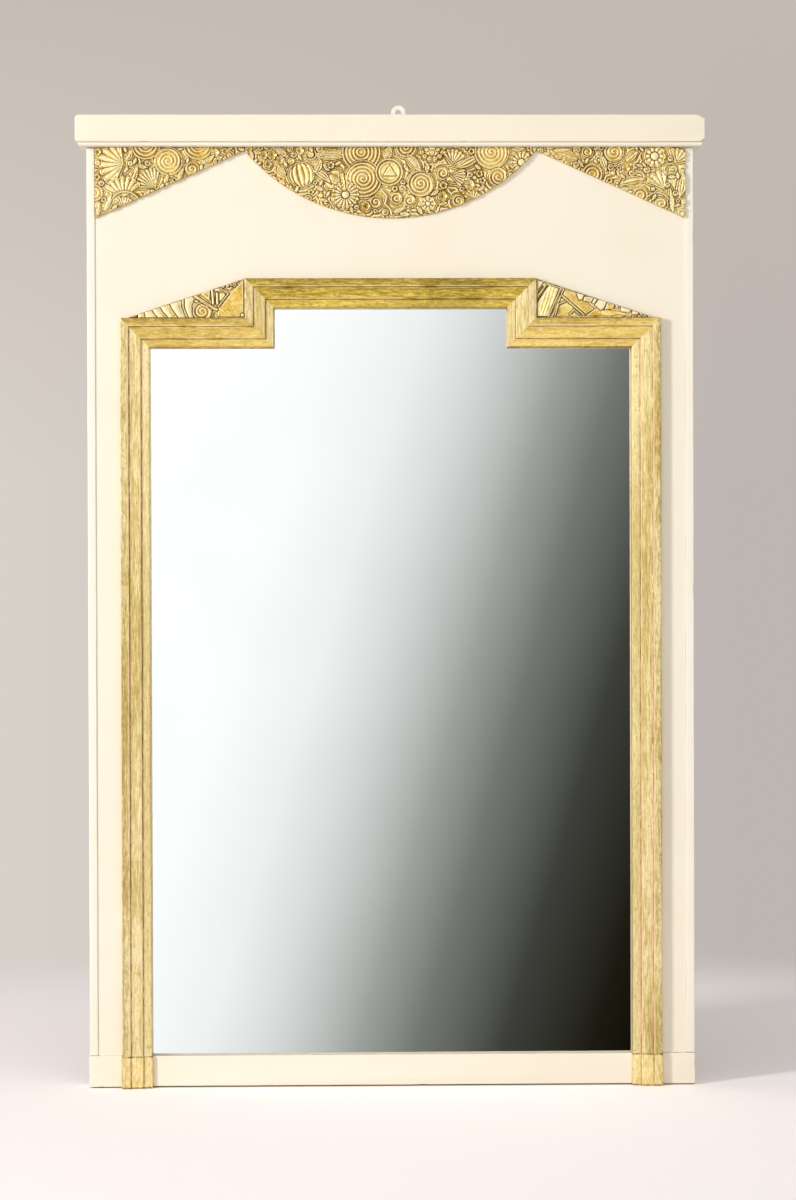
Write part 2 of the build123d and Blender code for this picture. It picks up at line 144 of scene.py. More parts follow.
# Burnished gold leaf over red bole: soft streaky metal, rubbed pale at the edges and painted pale where
# highlights fall, brown in the recesses from dirt and painted shade
def goldLeaf(name, stretch, look):
    leaf = {
        "deep": "#BFA45A",
        "body": "#DBC588",
        "pale": "#F2E5B6",
        "bole": "#D99C78",
        "patina": "#6A3E0C",
        "olive": "#B5A052",
        "leafSize": 76,      # mm, a cut leaf less its lap
        "leafShift": 0.035,  # how much one leaf's tone differs from the next
        "lapWidth": 1.4,     # mm, the line where two leaves lap
        "mottle": 30,        # mm across
        "streak": 2.4,       # mm, marks of the burnisher
        "fleck": 3.2,        # mm, drawn coarser than real so that they show
        "speckle": 7,        # mm, how rubbing breaks the leaf up
        "grit": 1.6,         # mm, gesso grain under the leaf
        "gritRise": 0.35,    # mm
        "metal": 0.82,
        "wearFrom": 0.3,
        "lighter": 0.3,        # how much paler the inner band is painted, a painted highlight for the light it catches
    }
    leaf.update(look)
    material, tree, place = newMaterial(name)
    drawn = addNode(tree, "ShaderNodeMapping", {"Vector": place, "Scale": stretch}).outputs["Vector"]
    mottle = addNode(tree, "ShaderNodeTexNoise", {
        "Vector": drawn, "Scale": perMetre(leaf["mottle"]), "Detail": 5.0, "Roughness": 0.6})
    streaks = addNode(tree, "ShaderNodeTexNoise", {
        "Vector": drawn, "Scale": perMetre(leaf["streak"]), "Detail": 3.0, "Roughness": 0.6})
    blend = addNode(tree, "ShaderNodeMix", {
        "Factor": leaf["streakShare"], "A": mottle.outputs["Fac"], "B": streaks.outputs["Fac"]})

    # leaves laid one after another along the length, each a little off in tone
    axes = addNode(tree, "ShaderNodeSeparateXYZ", {"Vector": place})
    wander = addNode(tree, "ShaderNodeMath", {0: mottle.outputs["Fac"], 1: 0.008}, operation="MULTIPLY")
    along = addNode(tree, "ShaderNodeMath", {
        0: axes.outputs[leaf["along"]], 1: wander.outputs["Value"]}, operation="ADD")
    counted = addNode(tree, "ShaderNodeMath", {
        0: along.outputs["Value"], 1: perMetre(leaf["leafSize"])}, operation="MULTIPLY")
    number = addNode(tree, "ShaderNodeMath", {0: counted.outputs["Value"]}, operation="FLOOR")
    eachLeaf = addNode(tree, "ShaderNodeTexWhiteNoise", {
        "W": number.outputs["Value"]}, noise_dimensions="1D")
    shift = addNode(tree, "ShaderNodeMapRange", {
        "Value": eachLeaf.outputs["Value"], "To Min": -leaf["leafShift"], "To Max": leaf["leafShift"]})
    shade = addNode(tree, "ShaderNodeMath", {
        0: blend.outputs["Result"], 1: shift.outputs["Result"]}, operation="ADD")
    tone = addNode(tree, "ShaderNodeValToRGB", {"Fac": shade.outputs["Value"]}, stops=[
        (0.41, leaf["deep"]), (0.5, leaf["body"]), (0.59, leaf["pale"])])
    # painted highlight: the inner band, marked by this attribute, is painted paler for the light it catches
    lighter = addNode(tree, "ShaderNodeAttribute", attribute_name="lighter")
    innerBandLight = addNode(tree, "ShaderNodeMath", {
        0: lighter.outputs["Fac"], 1: leaf["lighter"]}, operation="MULTIPLY")
    innerBandLit = addNode(tree, "ShaderNodeMix", {
        0: innerBandLight.outputs["Value"], 6: tone.outputs["Color"], 7: leaf["pale"]}, data_type="RGBA")

    # olive stains, the laps and a blush of bole
    dabbed = addNode(tree, "ShaderNodeMapping", {"Vector": place, "Scale": leaf["fleckStretch"]})
    flecks = addNode(tree, "ShaderNodeTexNoise", {
        "Vector": dabbed.outputs["Vector"], "Scale": perMetre(leaf["fleck"]), "Detail": 2.0,
        "Roughness": 0.6})
    stain = addNode(tree, "ShaderNodeMapRange", {
        "Value": flecks.outputs["Fac"], "From Min": 0.55, "From Max": 0.72,
        "To Min": 0.0, "To Max": leaf["stain"]})
    stained = addNode(tree, "ShaderNodeMix", {
        0: stain.outputs["Result"], 6: innerBandLit.outputs[2], 7: leaf["olive"]}, data_type="RGBA")
    turn = addNode(tree, "ShaderNodeMath", {0: counted.outputs["Value"], 1: 0.5}, operation="PINGPONG")
    lap = addNode(tree, "ShaderNodeMapRange", {
        "Value": turn.outputs["Value"], "From Min": 0.0,
        "From Max": leaf["lapWidth"] / 2 / leaf["leafSize"], "To Min": leaf["lap"], "To Max": 0.0})
    lapped = addNode(tree, "ShaderNodeMix", {
        0: lap.outputs["Result"], 6: stained.outputs[2], 7: leaf["bole"]}, data_type="RGBA")
    blush = addNode(tree, "ShaderNodeMapRange", {
        "Value": flecks.outputs["Fac"], "From Min": 0.43, "From Max": 0.28,
        "To Min": 0.0, "To Max": leaf["blush"]})
    blushed = addNode(tree, "ShaderNodeMix", {
        0: blush.outputs["Result"], 6: lapped.outputs[2], 7: leaf["bole"]}, data_type="RGBA")

    # handled edges and painted highlights, then dirt and painted shade in the recesses
    # painted highlight: this attribute pales crowns and edges towards the bole tone, for rubbed leaf and for
    # the light they catch
    rubAndHighlight = addNode(tree, "ShaderNodeAttribute", attribute_name="rubAndHighlight")
    speckle = addNode(tree, "ShaderNodeTexNoise", {
        "Vector": drawn, "Scale": perMetre(leaf["speckle"]), "Detail": 6.0, "Roughness": 0.7})
    rubbed = addNode(tree, "ShaderNodeMath", {
        0: rubAndHighlight.outputs["Fac"], 1: speckle.outputs["Fac"]}, operation="MULTIPLY")
    wear = addNode(tree, "ShaderNodeMapRange", {
        "Value": rubbed.outputs["Value"], "From Min": leaf["wearFrom"], "From Max": leaf["wearFrom"] + 0.32,
        "To Min": 0.0, "To Max": leaf["wear"]})
    worn = addNode(tree, "ShaderNodeMix", {
        0: wear.outputs["Result"], 6: blushed.outputs[2], 7: leaf["bole"]}, data_type="RGBA")
    dirtAndShade = addNode(tree, "ShaderNodeAttribute", attribute_name="dirtAndShade")
    broken = addNode(tree, "ShaderNodeMapRange", {
        "Value": flecks.outputs["Fac"], "From Min": 0.38, "From Max": 0.56,
        "To Min": leaf["lineBreak"], "To Max": 1.0})
    sunk = addNode(tree, "ShaderNodeMath", {
        0: dirtAndShade.outputs["Fac"], 1: broken.outputs["Result"]}, operation="MULTIPLY", use_clamp=True)
    colour = addNode(tree, "ShaderNodeMix", {
        0: sunk.outputs["Value"], 6: worn.outputs[2], 7: leaf["patina"]}, data_type="RGBA")
    covered = addNode(tree, "ShaderNodeMath", {
        0: sunk.outputs["Value"], 1: wear.outputs["Result"]}, operation="MAXIMUM")
    bare = addNode(tree, "ShaderNodeMapRange", {
        "Value": covered.outputs["Value"], "To Min": leaf["metal"], "To Max": 0.2})
    dull = addNode(tree, "ShaderNodeMapRange", {
        "Value": covered.outputs["Value"], "To Min": leaf["roughness"], "To Max": 0.62})
    sheen = addNode(tree, "ShaderNodeMapRange", {       # dirt in the lines hardly shines
        "Value": sunk.outputs["Value"], "To Min": 0.5, "To Max": 0.05})
    fine = addNode(tree, "ShaderNodeTexNoise", {
        "Vector": drawn, "Scale": perMetre(leaf["grit"]), "Detail": 3.0})
    uneven = addNode(tree, "ShaderNodeMath", {
        0: fine.outputs["Fac"], 1: flecks.outputs["Fac"]}, operation="ADD")
    bump = addNode(tree, "ShaderNodeBump", {
        "Height": uneven.outputs["Value"], "Strength": leaf["bump"], "Distance": leaf["gritRise"] * mm})
    shader = addNode(tree, "ShaderNodeBsdfPrincipled", {
        "Base Color": colour.outputs[2], "Metallic": bare.outputs["Result"],
        "Roughness": dull.outputs["Result"], "Specular IOR Level": sheen.outputs["Result"],
        "Normal": bump.outputs["Normal"]})
    addNode(tree, "ShaderNodeOutputMaterial", {"Surface": shader.outputs["BSDF"]})
    return material


# Old silvered plate glass: a clean mirror with a trace of green
def silveredGlass():
    plate = {
        "clear": "#FAFBFA",
        "green": "#F5F7F6",
        "clouding": 240,     # mm across
        "pull": 180,         # mm from one wave of drawn plate to the next
        "pullRise": 0.5,     # mm
    }
    material, tree, place = newMaterial("silveredGlass")
    clouds = addNode(tree, "ShaderNodeTexNoise", {"Vector": place, "Scale": perMetre(plate["clouding"])})
    tone = addNode(tree, "ShaderNodeValToRGB", {"Fac": clouds.outputs["Fac"]}, stops=[
        (0.3, plate["clear"]), (0.7, plate["green"])])
    pull = addNode(tree, "ShaderNodeTexNoise", {"Vector": place, "Scale": perMetre(plate["pull"])})
    bump = addNode(tree, "ShaderNodeBump", {
        "Height": pull.outputs["Fac"], "Strength": 0.05, "Distance": plate["pullRise"] * mm})
    shader = addNode(tree, "ShaderNodeBsdfPrincipled", {
        "Base Color": tone.outputs["Color"], "Metallic": 1.0, "Roughness": 0.0,
        "Normal": bump.outputs["Normal"]})
    addNode(tree, "ShaderNodeOutputMaterial", {"Surface": shader.outputs["BSDF"]})
    return material


# Sawn softwood, aged: straight brown grain with a few knots and saw marks, dry and matt
def bareSoftwood(name, grain):
    wood = {
        "early": "#D2AC7C",
        "late": "#A67E50",
        "aged": "#86684A",
        "knot": "#4B2E1A",
        "ringGap": 7,        # mm between late wood lines
        "warp": 60,          # mm from one bend of the grain to the next
        "knotGap": 260,
        "ageing": 130,       # mm across the darker clouds
        "sawMark": 3,
        "sawRise": 0.5,
    }
    material, tree, place = newMaterial(name)
    drawn = addNode(tree, "ShaderNodeMapping", {
        "Vector": place, "Scale": {"across": (0.06, 1, 1), "upright": (1, 1, 0.06)}[grain]}).outputs["Vector"]
    warp = addNode(tree, "ShaderNodeTexNoise", {
        "Vector": drawn, "Scale": perMetre(wood["warp"]), "Detail": 3.0})
    bent = addNode(tree, "ShaderNodeVectorMath", {
        0: warp.outputs["Color"], 1: (0.03, 0.03, 0.03), 2: drawn}, operation="MULTIPLY_ADD")
    rings = addNode(tree, "ShaderNodeTexNoise", {
        "Vector": bent.outputs["Vector"], "Scale": perMetre(wood["ringGap"] * 2), "Detail": 4.0,
        "Roughness": 0.7})
    grainTone = addNode(tree, "ShaderNodeValToRGB", {"Fac": rings.outputs["Fac"]}, stops=[
        (0.34, wood["late"]), (0.5, wood["early"]), (0.56, wood["late"]), (0.64, wood["early"])])
    age = addNode(tree, "ShaderNodeTexNoise", {
        "Vector": place, "Scale": perMetre(wood["ageing"]), "Detail": 4.0})
    ageing = addNode(tree, "ShaderNodeMapRange", {
        "Value": age.outputs["Fac"], "From Min": 0.3, "From Max": 0.75, "To Min": 0.0, "To Max": 0.4})
    each = addNode(tree, "ShaderNodeObjectInfo")
    boardAge = addNode(tree, "ShaderNodeMapRange", {
        "Value": each.outputs["Random"], "To Min": 0.05, "To Max": 0.35})
    ageTotal = addNode(tree, "ShaderNodeMath", {
        0: ageing.outputs["Result"], 1: boardAge.outputs["Result"]}, operation="ADD")
    aged = addNode(tree, "ShaderNodeMix", {
        0: ageTotal.outputs["Value"], 6: grainTone.outputs["Color"], 7: wood["aged"]}, data_type="RGBA")
    squashed = addNode(tree, "ShaderNodeMapping", {
        "Vector": place, "Scale": {"across": (0.5, 1, 1), "upright": (1, 1, 0.5)}[grain]})
    knots = addNode(tree, "ShaderNodeTexVoronoi", {
        "Vector": squashed.outputs["Vector"], "Scale": perMetre(wood["knotGap"])})
    eye = addNode(tree, "ShaderNodeMapRange", {
        "Value": knots.outputs["Distance"], "From Min": 0.03, "From Max": 0.075,
        "To Min": 0.9, "To Max": 0.0})
    colour = addNode(tree, "ShaderNodeMix", {
        0: eye.outputs["Result"], 6: aged.outputs[2], 7: wood["knot"]}, data_type="RGBA")
    saw = addNode(tree, "ShaderNodeTexNoise", {
        "Vector": place, "Scale": perMetre(wood["sawMark"]), "Detail": 2.0})
    relief = addNode(tree, "ShaderNodeMath", {
        0: rings.outputs["Fac"], 1: saw.outputs["Fac"]}, operation="ADD")
    bump = addNode(tree, "ShaderNodeBump", {
        "Height": relief.outputs["Value"], "Strength": 0.4, "Distance": wood["sawRise"] * mm})
    shader = addNode(tree, "ShaderNodeBsdfPrincipled", {
        "Base Color": colour.outputs[2], "Roughness": 0.82, "Normal": bump.outputs["Normal"]})
    addNode(tree, "ShaderNodeOutputMaterial", {"Surface": shader.outputs["BSDF"]})
    return material


# Brown kraft paper pasted over the silvering: matt, with short fibres
def backingPaper():
    paper = {"dark": "#8A6A44", "light": "#A9865A", "fibre": 2.5}      # mm from fibre to fibre
    material, tree, place = newMaterial("backingPaper")
    drawn = addNode(tree, "ShaderNodeMapping", {"Vector": place, "Scale": (1, 1, 0.3)})
    fibres = addNode(tree, "ShaderNodeTexNoise", {
        "Vector": drawn.outputs["Vector"], "Scale": perMetre(paper["fibre"]), "Detail": 5.0,
        "Roughness": 0.7})
    tone = addNode(tree, "ShaderNodeValToRGB", {"Fac": fibres.outputs["Fac"]}, stops=[
        (0.35, paper["dark"]), (0.65, paper["light"])])
    shader = addNode(tree, "ShaderNodeBsdfPrincipled", {
        "Base Color": tone.outputs["Color"], "Roughness": 0.9})
    addNode(tree, "ShaderNodeOutputMaterial", {"Surface": shader.outputs["BSDF"]})
    return material


# Drawn steel nails and screws gone dull, with rust starting
def dullSteel():
    wire = {
        "bright": "#77736C",
        "rusting": "#6A4A35",
        "rust": "#5A3220",
        "patch": 4,          # mm across a patch of rust
    }
    material, tree, place = newMaterial("dullSteel")
    rust = addNode(tree, "ShaderNodeTexNoise", {
        "Vector": place, "Scale": perMetre(wire["patch"]), "Detail": 5.0, "Roughness": 0.65})
    tone = addNode(tree, "ShaderNodeValToRGB", {"Fac": rust.outputs["Fac"]}, stops=[
        (0.42, wire["bright"]), (0.56, wire["rusting"]), (0.7, wire["rust"])])
    metal = addNode(tree, "ShaderNodeMapRange", {
        "Value": rust.outputs["Fac"], "From Min": 0.45, "From Max": 0.6, "To Min": 1.0, "To Max": 0.1})
    dull = addNode(tree, "ShaderNodeMapRange", {
        "Value": rust.outputs["Fac"], "From Min": 0.4, "From Max": 0.6, "To Min": 0.42, "To Max": 0.85})
    shader = addNode(tree, "ShaderNodeBsdfPrincipled", {
        "Base Color": tone.outputs["Color"], "Metallic": metal.outputs["Result"],
        "Roughness": dull.outputs["Result"]})
    addNode(tree, "ShaderNodeOutputMaterial", {"Surface": shader.outputs["BSDF"]})
    return material


# Wrought iron painted over with the case: cream skin, chipped to dark iron here and there
def paintedIron():
    coat = {
        "lighter": "#FFFAF0",
        "body": "#F8F0DE",
        "iron": "#4A4038",
        "chip": 6,           # mm across
        "chipDepth": 0.2,    # mm
    }
    material, tree, place = newMaterial("paintedIron")
    chips = addNode(tree, "ShaderNodeTexNoise", {
        "Vector": place, "Scale": perMetre(coat["chip"]), "Detail": 5.0, "Roughness": 0.6})
    tone = addNode(tree, "ShaderNodeValToRGB", {"Fac": chips.outputs["Fac"]}, stops=[
        (0.3, coat["lighter"]), (0.68, coat["body"]), (0.72, coat["iron"])])
    bump = addNode(tree, "ShaderNodeBump", {
        "Height": chips.outputs["Fac"], "Strength": 0.4, "Distance": coat["chipDepth"] * mm})
    shader = addNode(tree, "ShaderNodeBsdfPrincipled", {
        "Base Color": tone.outputs["Color"], "Roughness": 0.4, "Normal": bump.outputs["Normal"]})
    addNode(tree, "ShaderNodeOutputMaterial", {"Surface": shader.outputs["BSDF"]})
    return material


levelEnamel = creamEnamel("creamEnamelLevel", "across", {})
uprightEnamel = creamEnamel("creamEnamelUpright", "upright", {})
corniceEnamel = creamEnamel("creamEnamelCornice", "across", {
    "body": "#FBF1DB", "lighter": "#FBF2DE", "yellowed": "#F9EED6"})
# a paler copy of the same cream paint, painted light on the side boards' front strips and the cornice
# underlay, which catch more light
litEdgeEnamel = creamEnamel("creamEnamelLitEdge", "upright", {
    "body": "#FDF6E6", "lighter": "#FFF9EC", "yellowed": "#FCF3DF"})

# the gilding differs from length to length, partly in the leaf itself and partly as painted light: the top
# and shoulder lengths take their own tones for what their gold reflects, the top darkest and most olive;
# along is the axis that its leaves follow, 0 for X, 2 for Z
uprightGilt = goldLeaf("goldLeafUpright", (1, 1, 0.09), {
    "along": 2, "fleckStretch": (1, 1, 0.4), "streakShare": 0.5, "mottle": 36, "streak": 2.2,
    "stain": 0.7, "blush": 0.5, "lineBreak": 0.1, "lap": 0.12, "leafShift": 0.008, "lighter": 0.3,
    "wear": 0.9, "wearFrom": 0.2, "roughness": 0.4, "bump": 0.4,
    "deep": "#B49E54", "body": "#D4C080", "pale": "#EEE0AC", "bole": "#F2CFAA"})
levelGilt = goldLeaf("goldLeafLevel", (0.12, 1, 1), {
    "along": 0, "fleckStretch": (0.5, 1, 1), "streakShare": 0.5,
    "stain": 0.8, "blush": 0.5, "lineBreak": 0.4, "lap": 0.2, "leafShift": 0.02, "lighter": 0.05,
    "wear": 0.9, "wearFrom": 0.2, "roughness": 0.4, "bump": 0.4,
    "deep": "#BC9E4A", "body": "#D6B964", "pale": "#EACF7E", "bole": "#FAE2AE"})
plinthGilt = goldLeaf("goldLeafPlinth", (1, 1, 0.22), {
    "along": 2, "fleckStretch": (1, 1, 0.4), "streakShare": 0.75,
    "stain": 0.2, "blush": 0.5, "lineBreak": 0.15, "lap": 0.0,
    "wear": 0.8, "roughness": 0.42, "bump": 0.4,
    "deep": "#E2CC88", "body": "#EEDA98", "pale": "#F8E9B6", "patina": "#5A3014"})
shadedTopGilt = goldLeaf("goldLeafTopShaded", (0.12, 1, 1), {
    "along": 0, "fleckStretch": (0.5, 1, 1), "streakShare": 0.5,
    "stain": 0.8, "blush": 0.4, "lineBreak": 0.4, "lap": 0.25, "leafShift": 0.02, "lighter": 0.35,
    "wear": 0.9, "wearFrom": 0.2, "roughness": 0.4, "bump": 0.4,
    "deep": "#907A2A", "body": "#BAA042", "pale": "#EACF66", "olive": "#8A7E2E", "bole": "#F4D898"})
# the carved leaf's near white bole tone paints the crowns' highlights as well as rubbed leaf
carvedGilt = goldLeaf("goldLeafCarved", (1, 1, 1), {
    "along": 0, "fleckStretch": (1, 1, 1), "streakShare": 0.35,
    "stain": 0.55, "blush": 0.4, "lineBreak": 0.75, "lap": 0.0, "leafShift": 0.02,
    "wear": 0.95, "wearFrom": 0.12, "roughness": 0.4, "bump": 0.3, "metal": 0.62,
    "deep": "#C8A236", "body": "#F3D26C", "pale": "#FDEDA2", "patina": "#6C4400", "bole": "#FFF4C8",
    "olive": "#A8923E"})
silvered = silveredGlass()
levelWood = bareSoftwood("bareSoftwoodLevel", "across")
uprightWood = bareSoftwood("bareSoftwoodUpright", "upright")
kraft = backingPaper()
steel = dullSteel()
iron = paintedIron()
print("materials ready")


# builds a mesh object from arrays; traits are numbers kept at each point for the materials
def makeMesh(name, points, faces, traits=None, sharpAngle=40):
    mesh = bpy.data.meshes.new(name)
    mesh.from_pydata(np.asarray(points, float) * mm, [], faces)
    mesh.update()
    for trait, values in (traits or {}).items():
        attribute = mesh.attributes.new(trait, "FLOAT", "POINT")
        attribute.data.foreach_set("value", np.asarray(values, np.float32).ravel())
    mesh.polygons.foreach_set("use_smooth", [len(face) <= 4 for face in faces])
    mesh.set_sharp_from_angle(angle=math.radians(sharpAngle))
    return addObject(name, mesh)


def dress(piece, node, material):
    piece.data.materials.clear()
    piece.data.materials.append(material)
    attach(piece, "root")
    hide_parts(node)


# joins rings of points into a closed tube with flat ends
def skin(rings):
    count = len(rings[0])
    faces = []
    for r in range(len(rings) - 1):
        for k in range(count):
            a = r * count + k
            b = r * count + (k + 1) % count
            faces.append((a, b, b + count, a + count))
    faces.append(tuple(range(count - 1, -1, -1)))
    faces.append(tuple((len(rings) - 1) * count + k for k in range(count)))
    return faces


# smooth random bumps on a lattice, the same on each run
def softNoise(u, v, size, seed):
    cells = 64
    lattice = np.random.default_rng(seed).random((cells, cells)) * 2 - 1
    x = np.asarray(u) / size + 17.3
    y = np.asarray(v) / size + 11.7
    ix = np.floor(x).astype(int)
    iy = np.floor(y).astype(int)
    fx = x - ix
    fy = y - iy
    fx = fx * fx * (3 - 2 * fx)
    fy = fy * fy * (3 - 2 * fy)
    left = ix % cells
    right = (ix + 1) % cells
    lower = iy % cells
    upper = (iy + 1) % cells
    low = lattice[left, lower] * (1 - fx) + lattice[right, lower] * fx
    high = lattice[left, upper] * (1 - fx) + lattice[right, upper] * fx
    return low * (1 - fy) + high * fy


# a solid's lowest and highest corner, in mm
def cadSize(node):
    low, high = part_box(node)
    return np.array(low) / mm, np.array(high) / mm


# Stepped moulding: an outer, a middle and an inner band, each a step lower, parted by two cut lines
gilt = {
    "width": 48.0,
    "sectionGap": 6.0,       # mm between cross sections along a length
    "wander": 0.2,           # mm that hand work strays
    "wanderLength": 45.0,
    "breakLength": 9,        # mm from one break of the dirt lines to the next
    "rubLength": 26,         # mm between handled places
    "faceY": -8.0,           # the painted boards' front
    # across from the outer edge, rise, recess 0 to 1 (dirt and painted shade), rubbing and painted highlight
    # 0 to 1
    "profile": [
        (0.0, 0.0, 0.6, 0.0), (0.0, 6.0, 0.4, 0.0), (0.0, 12.6, 0.4, 0.0), (0.3, 13.2, 0.35, 0.1),
        (1.0, 13.45, 0.3, 0.1), (2.4, 13.5, 0.3, 0.0), (6.5, 13.6, 0.2, 0.0), (10.4, 13.5, 0.12, 0.0),
        (11.8, 13.4, 0.0, 0.9), (13.0, 13.1, 0.0, 1.0), (13.4, 12.5, 0.0, 0.8), (13.7, 11.6, 0.6, 0.0),
        (13.8, 10.0, 1.0, 0.0), (14.2, 9.9, 1.0, 0.0), (14.3, 10.3, 0.6, 0.2), (15.2, 10.7, 0.0, 0.9),
        (16.4, 10.8, 0.0, 0.1), (20.0, 10.9, 0.0, 0.0), (24.0, 10.9, 0.0, 0.0), (28.0, 10.9, 0.0, 0.0),
        (31.0, 10.8, 0.0, 0.2), (32.4, 10.6, 0.0, 1.0), (33.3, 10.2, 0.0, 0.9), (33.65, 9.4, 0.3, 0.3),
        (33.75, 8.0, 0.8, 0.0), (33.85, 6.6, 1.0, 0.0), (34.2, 6.5, 1.0, 0.0), (34.3, 7.0, 0.4, 0.2),
        (35.2, 7.3, 0.0, 0.7), (36.4, 7.4, 0.0, 0.1), (41.0, 7.5, 0.0, 0.0), (44.8, 7.4, 0.0, 0.0),
        (46.4, 7.2, 0.0, 0.1), (47.4, 6.8, 0.0, 0.4), (47.9, 6.0, 0.0, 0.4), (48.1, 4.6, 0.1, 0.0),
        (48.0, 0.0, 0.6, 0.0)],
    "filled": 3.0,           # mm of gesso that clogs the lines where they break off
    "lip": 0.25,             # mm of gilding that turns down over the boards' edge to the glass
    "lipCore": 0.03,         # mm past the edge where its back returns
    "glassGap": 0.2,
    # share of the dark left in the lines, dirt together with painted shade; the lengths on the right, which
    # face the light, get paler lines and stronger painted highlights on their edges
    "lineDarkBySide": {
        "moulding_right_upright": 0.25, "moulding_right_riser": 0.4, "moulding_right_shoulder": 0.5,
        "moulding_top": 0.7, "moulding_left_shoulder": 0.8},
    # painted shadow: a dark edge at the glass stands in for the shaded gap, on the lengths where the gap
    # shows
    "glassGapShade": {
        "moulding_left_riser": 1.0, "moulding_right_shoulder": 0.7, "moulding_left_shoulder": 0.5},
    "edgeWidth": 1.4,        # mm
    "innerLightFrom": 34.5,       # mm across, where the inner band starts and the gold is painted paler as painted light
    "sharpAngle": 32,        # degrees, steeper edges stay crisp
}


def giltProfile():
    return np.array(gilt["profile"]).T


mouldingNames = [
    "moulding_left_upright", "moulding_left_shoulder", "moulding_left_riser", "moulding_top",
    "moulding_right_riser", "moulding_right_shoulder", "moulding_right_upright",
]


# the outer and inner corners of the mitred run, read back from the solids
def mouldingCorners():
    lowUpright, highUpright = cadSize("moulding_left_upright")
    lowRiser, highRiser = cadSize("moulding_left_riser")
    outerHalf = -lowUpright[0]
    raisedHalf = -lowRiser[0]
    foot = lowUpright[2]
    shoulder = highUpright[2]
    raised = highRiser[2]
    w = gilt["width"]
    outerHalfRun = [(outerHalf, foot), (outerHalf, shoulder), (raisedHalf, shoulder), (raisedHalf, raised)]
    innerHalfRun = [
        (outerHalf - w, foot), (outerHalf - w, shoulder - w),
        (raisedHalf - w, shoulder - w), (raisedHalf - w, raised - w)]
    outer = [(-x, z) for x, z in outerHalfRun] + outerHalfRun[::-1]
    inner = [(-x, z) for x, z in innerHalfRun] + innerHalfRun[::-1]
    return outer, inner


# one mitred length; the lip goes down to the glass and its back returns beside the boards' edge
def giltLength(name, outerEnds, innerEnds, seed):
    across, rise, recess, rubAndHighlight = giltProfile()
    depth = gilt["faceY"] - cadSize("mirror_glass")[0][1] + gilt["glassGap"]
    lip = gilt["width"] + gilt["lip"]
    core = gilt["width"] + gilt["lipCore"]
    across = np.concatenate([across[:-1], [lip, lip, core, core]])
    rise = np.concatenate([rise[:-1], [2.0, depth, depth, 0.0]])
    recess = np.concatenate([recess[:-1], [0.1, 0.5, 0.5, 0.5]])
    rubAndHighlight = np.concatenate([rubAndHighlight[:-1], [0.0, 0.0, 0.0, 0.0]])
    # painted light: on the lengths that face the light the lines are painted paler and the edge highlights
    # stronger
    dirtAndSideLight = gilt["lineDarkBySide"].get(name, 1.0)
    quirk = recess > 0.55
    quirk[across > 40] = False
    # painted shadow along the edge at the glass
    glassGapShade = gilt["glassGapShade"].get(name, 0.0) * (across > gilt["width"] - gilt["edgeWidth"])
    recess = np.maximum(recess, glassGapShade)
    rubAndHighlight = rubAndHighlight * (1 - glassGapShade)
    share = (across / gilt["width"])[:, None]
    starts = np.array(outerEnds[0]) * (1 - share) + np.array(innerEnds[0]) * share
    ends = np.array(outerEnds[1]) * (1 - share) + np.array(innerEnds[1]) * share
    run = np.linalg.norm(np.array(outerEnds[1]) - np.array(outerEnds[0]))
    count = max(8, int(run / gilt["sectionGap"]))
    rings, hollows, rubs, innerBandLight = [], [], [], []
    for step in range(count + 1):
        t = step / count
        spots = starts * (1 - t) + ends * t
        along = run * t
        fade = min(1, 8 * t, 8 * (1 - t))
        stray = gilt["wander"] * fade * softNoise(along, across * 2.2, gilt["wanderLength"], seed)
        broken = softNoise(along, across * 3, gilt["breakLength"], seed + 5)
        broken = np.clip(0.85 + 0.9 * broken, 0.25, 1)
        stray += gilt["filled"] * fade * quirk * (1 - broken)
        lift = rise + np.where(rise > 0.5, stray, 0)
        rings.append(np.column_stack([spots[:, 0], gilt["faceY"] - lift, spots[:, 1]]))
        hollows.append(np.clip(np.where(quirk, dirtAndSideLight, 1.0) * recess * broken, 0, 1))
        handled = softNoise(along, across * 2, gilt["rubLength"], seed + 9)
        rubs.append(np.clip(rubAndHighlight * (0.75 + 0.6 * handled) / dirtAndSideLight ** 0.5, 0, 1))
        # the inner band is painted paler, a painted highlight
        innerBandLight.append(np.clip(across - gilt["innerLightFrom"], 0, 1))
    return makeMesh(name + "_gilt", np.concatenate(rings), skin(rings), {
        "dirtAndShade": np.concatenate(hollows), "rubAndHighlight": np.concatenate(rubs),
        "lighter": np.concatenate(innerBandLight)}, gilt["sharpAngle"])


def giltMoulding():
    outer, inner = mouldingCorners()
    for index, name in enumerate(mouldingNames):
        piece = giltLength(name, outer[index:index + 2], inner[index:index + 2], 40 + index)
        leaf = uprightGilt
        if name.endswith("shoulder"):
            leaf = levelGilt
        elif name.endswith("top"):
            leaf = shadedTopGilt
        dress(piece, name, leaf)


giltMoulding()
print("moulding ready")


# Plinth blocks carry the moulding's lines down to the floor, a little proud and worn at the corners
plinth = {
    "edge": 1.6,             # mm of rounding at top and foot
    "proud": 1.0,
    "joint": 3.0,            # mm of dark joint under the upright, and of painted contact shade where the block meets the floor
    "filled": 3.0,           # mm of gesso that clogs the lines
    "wander": 0.2,
    "sections": 26,
}


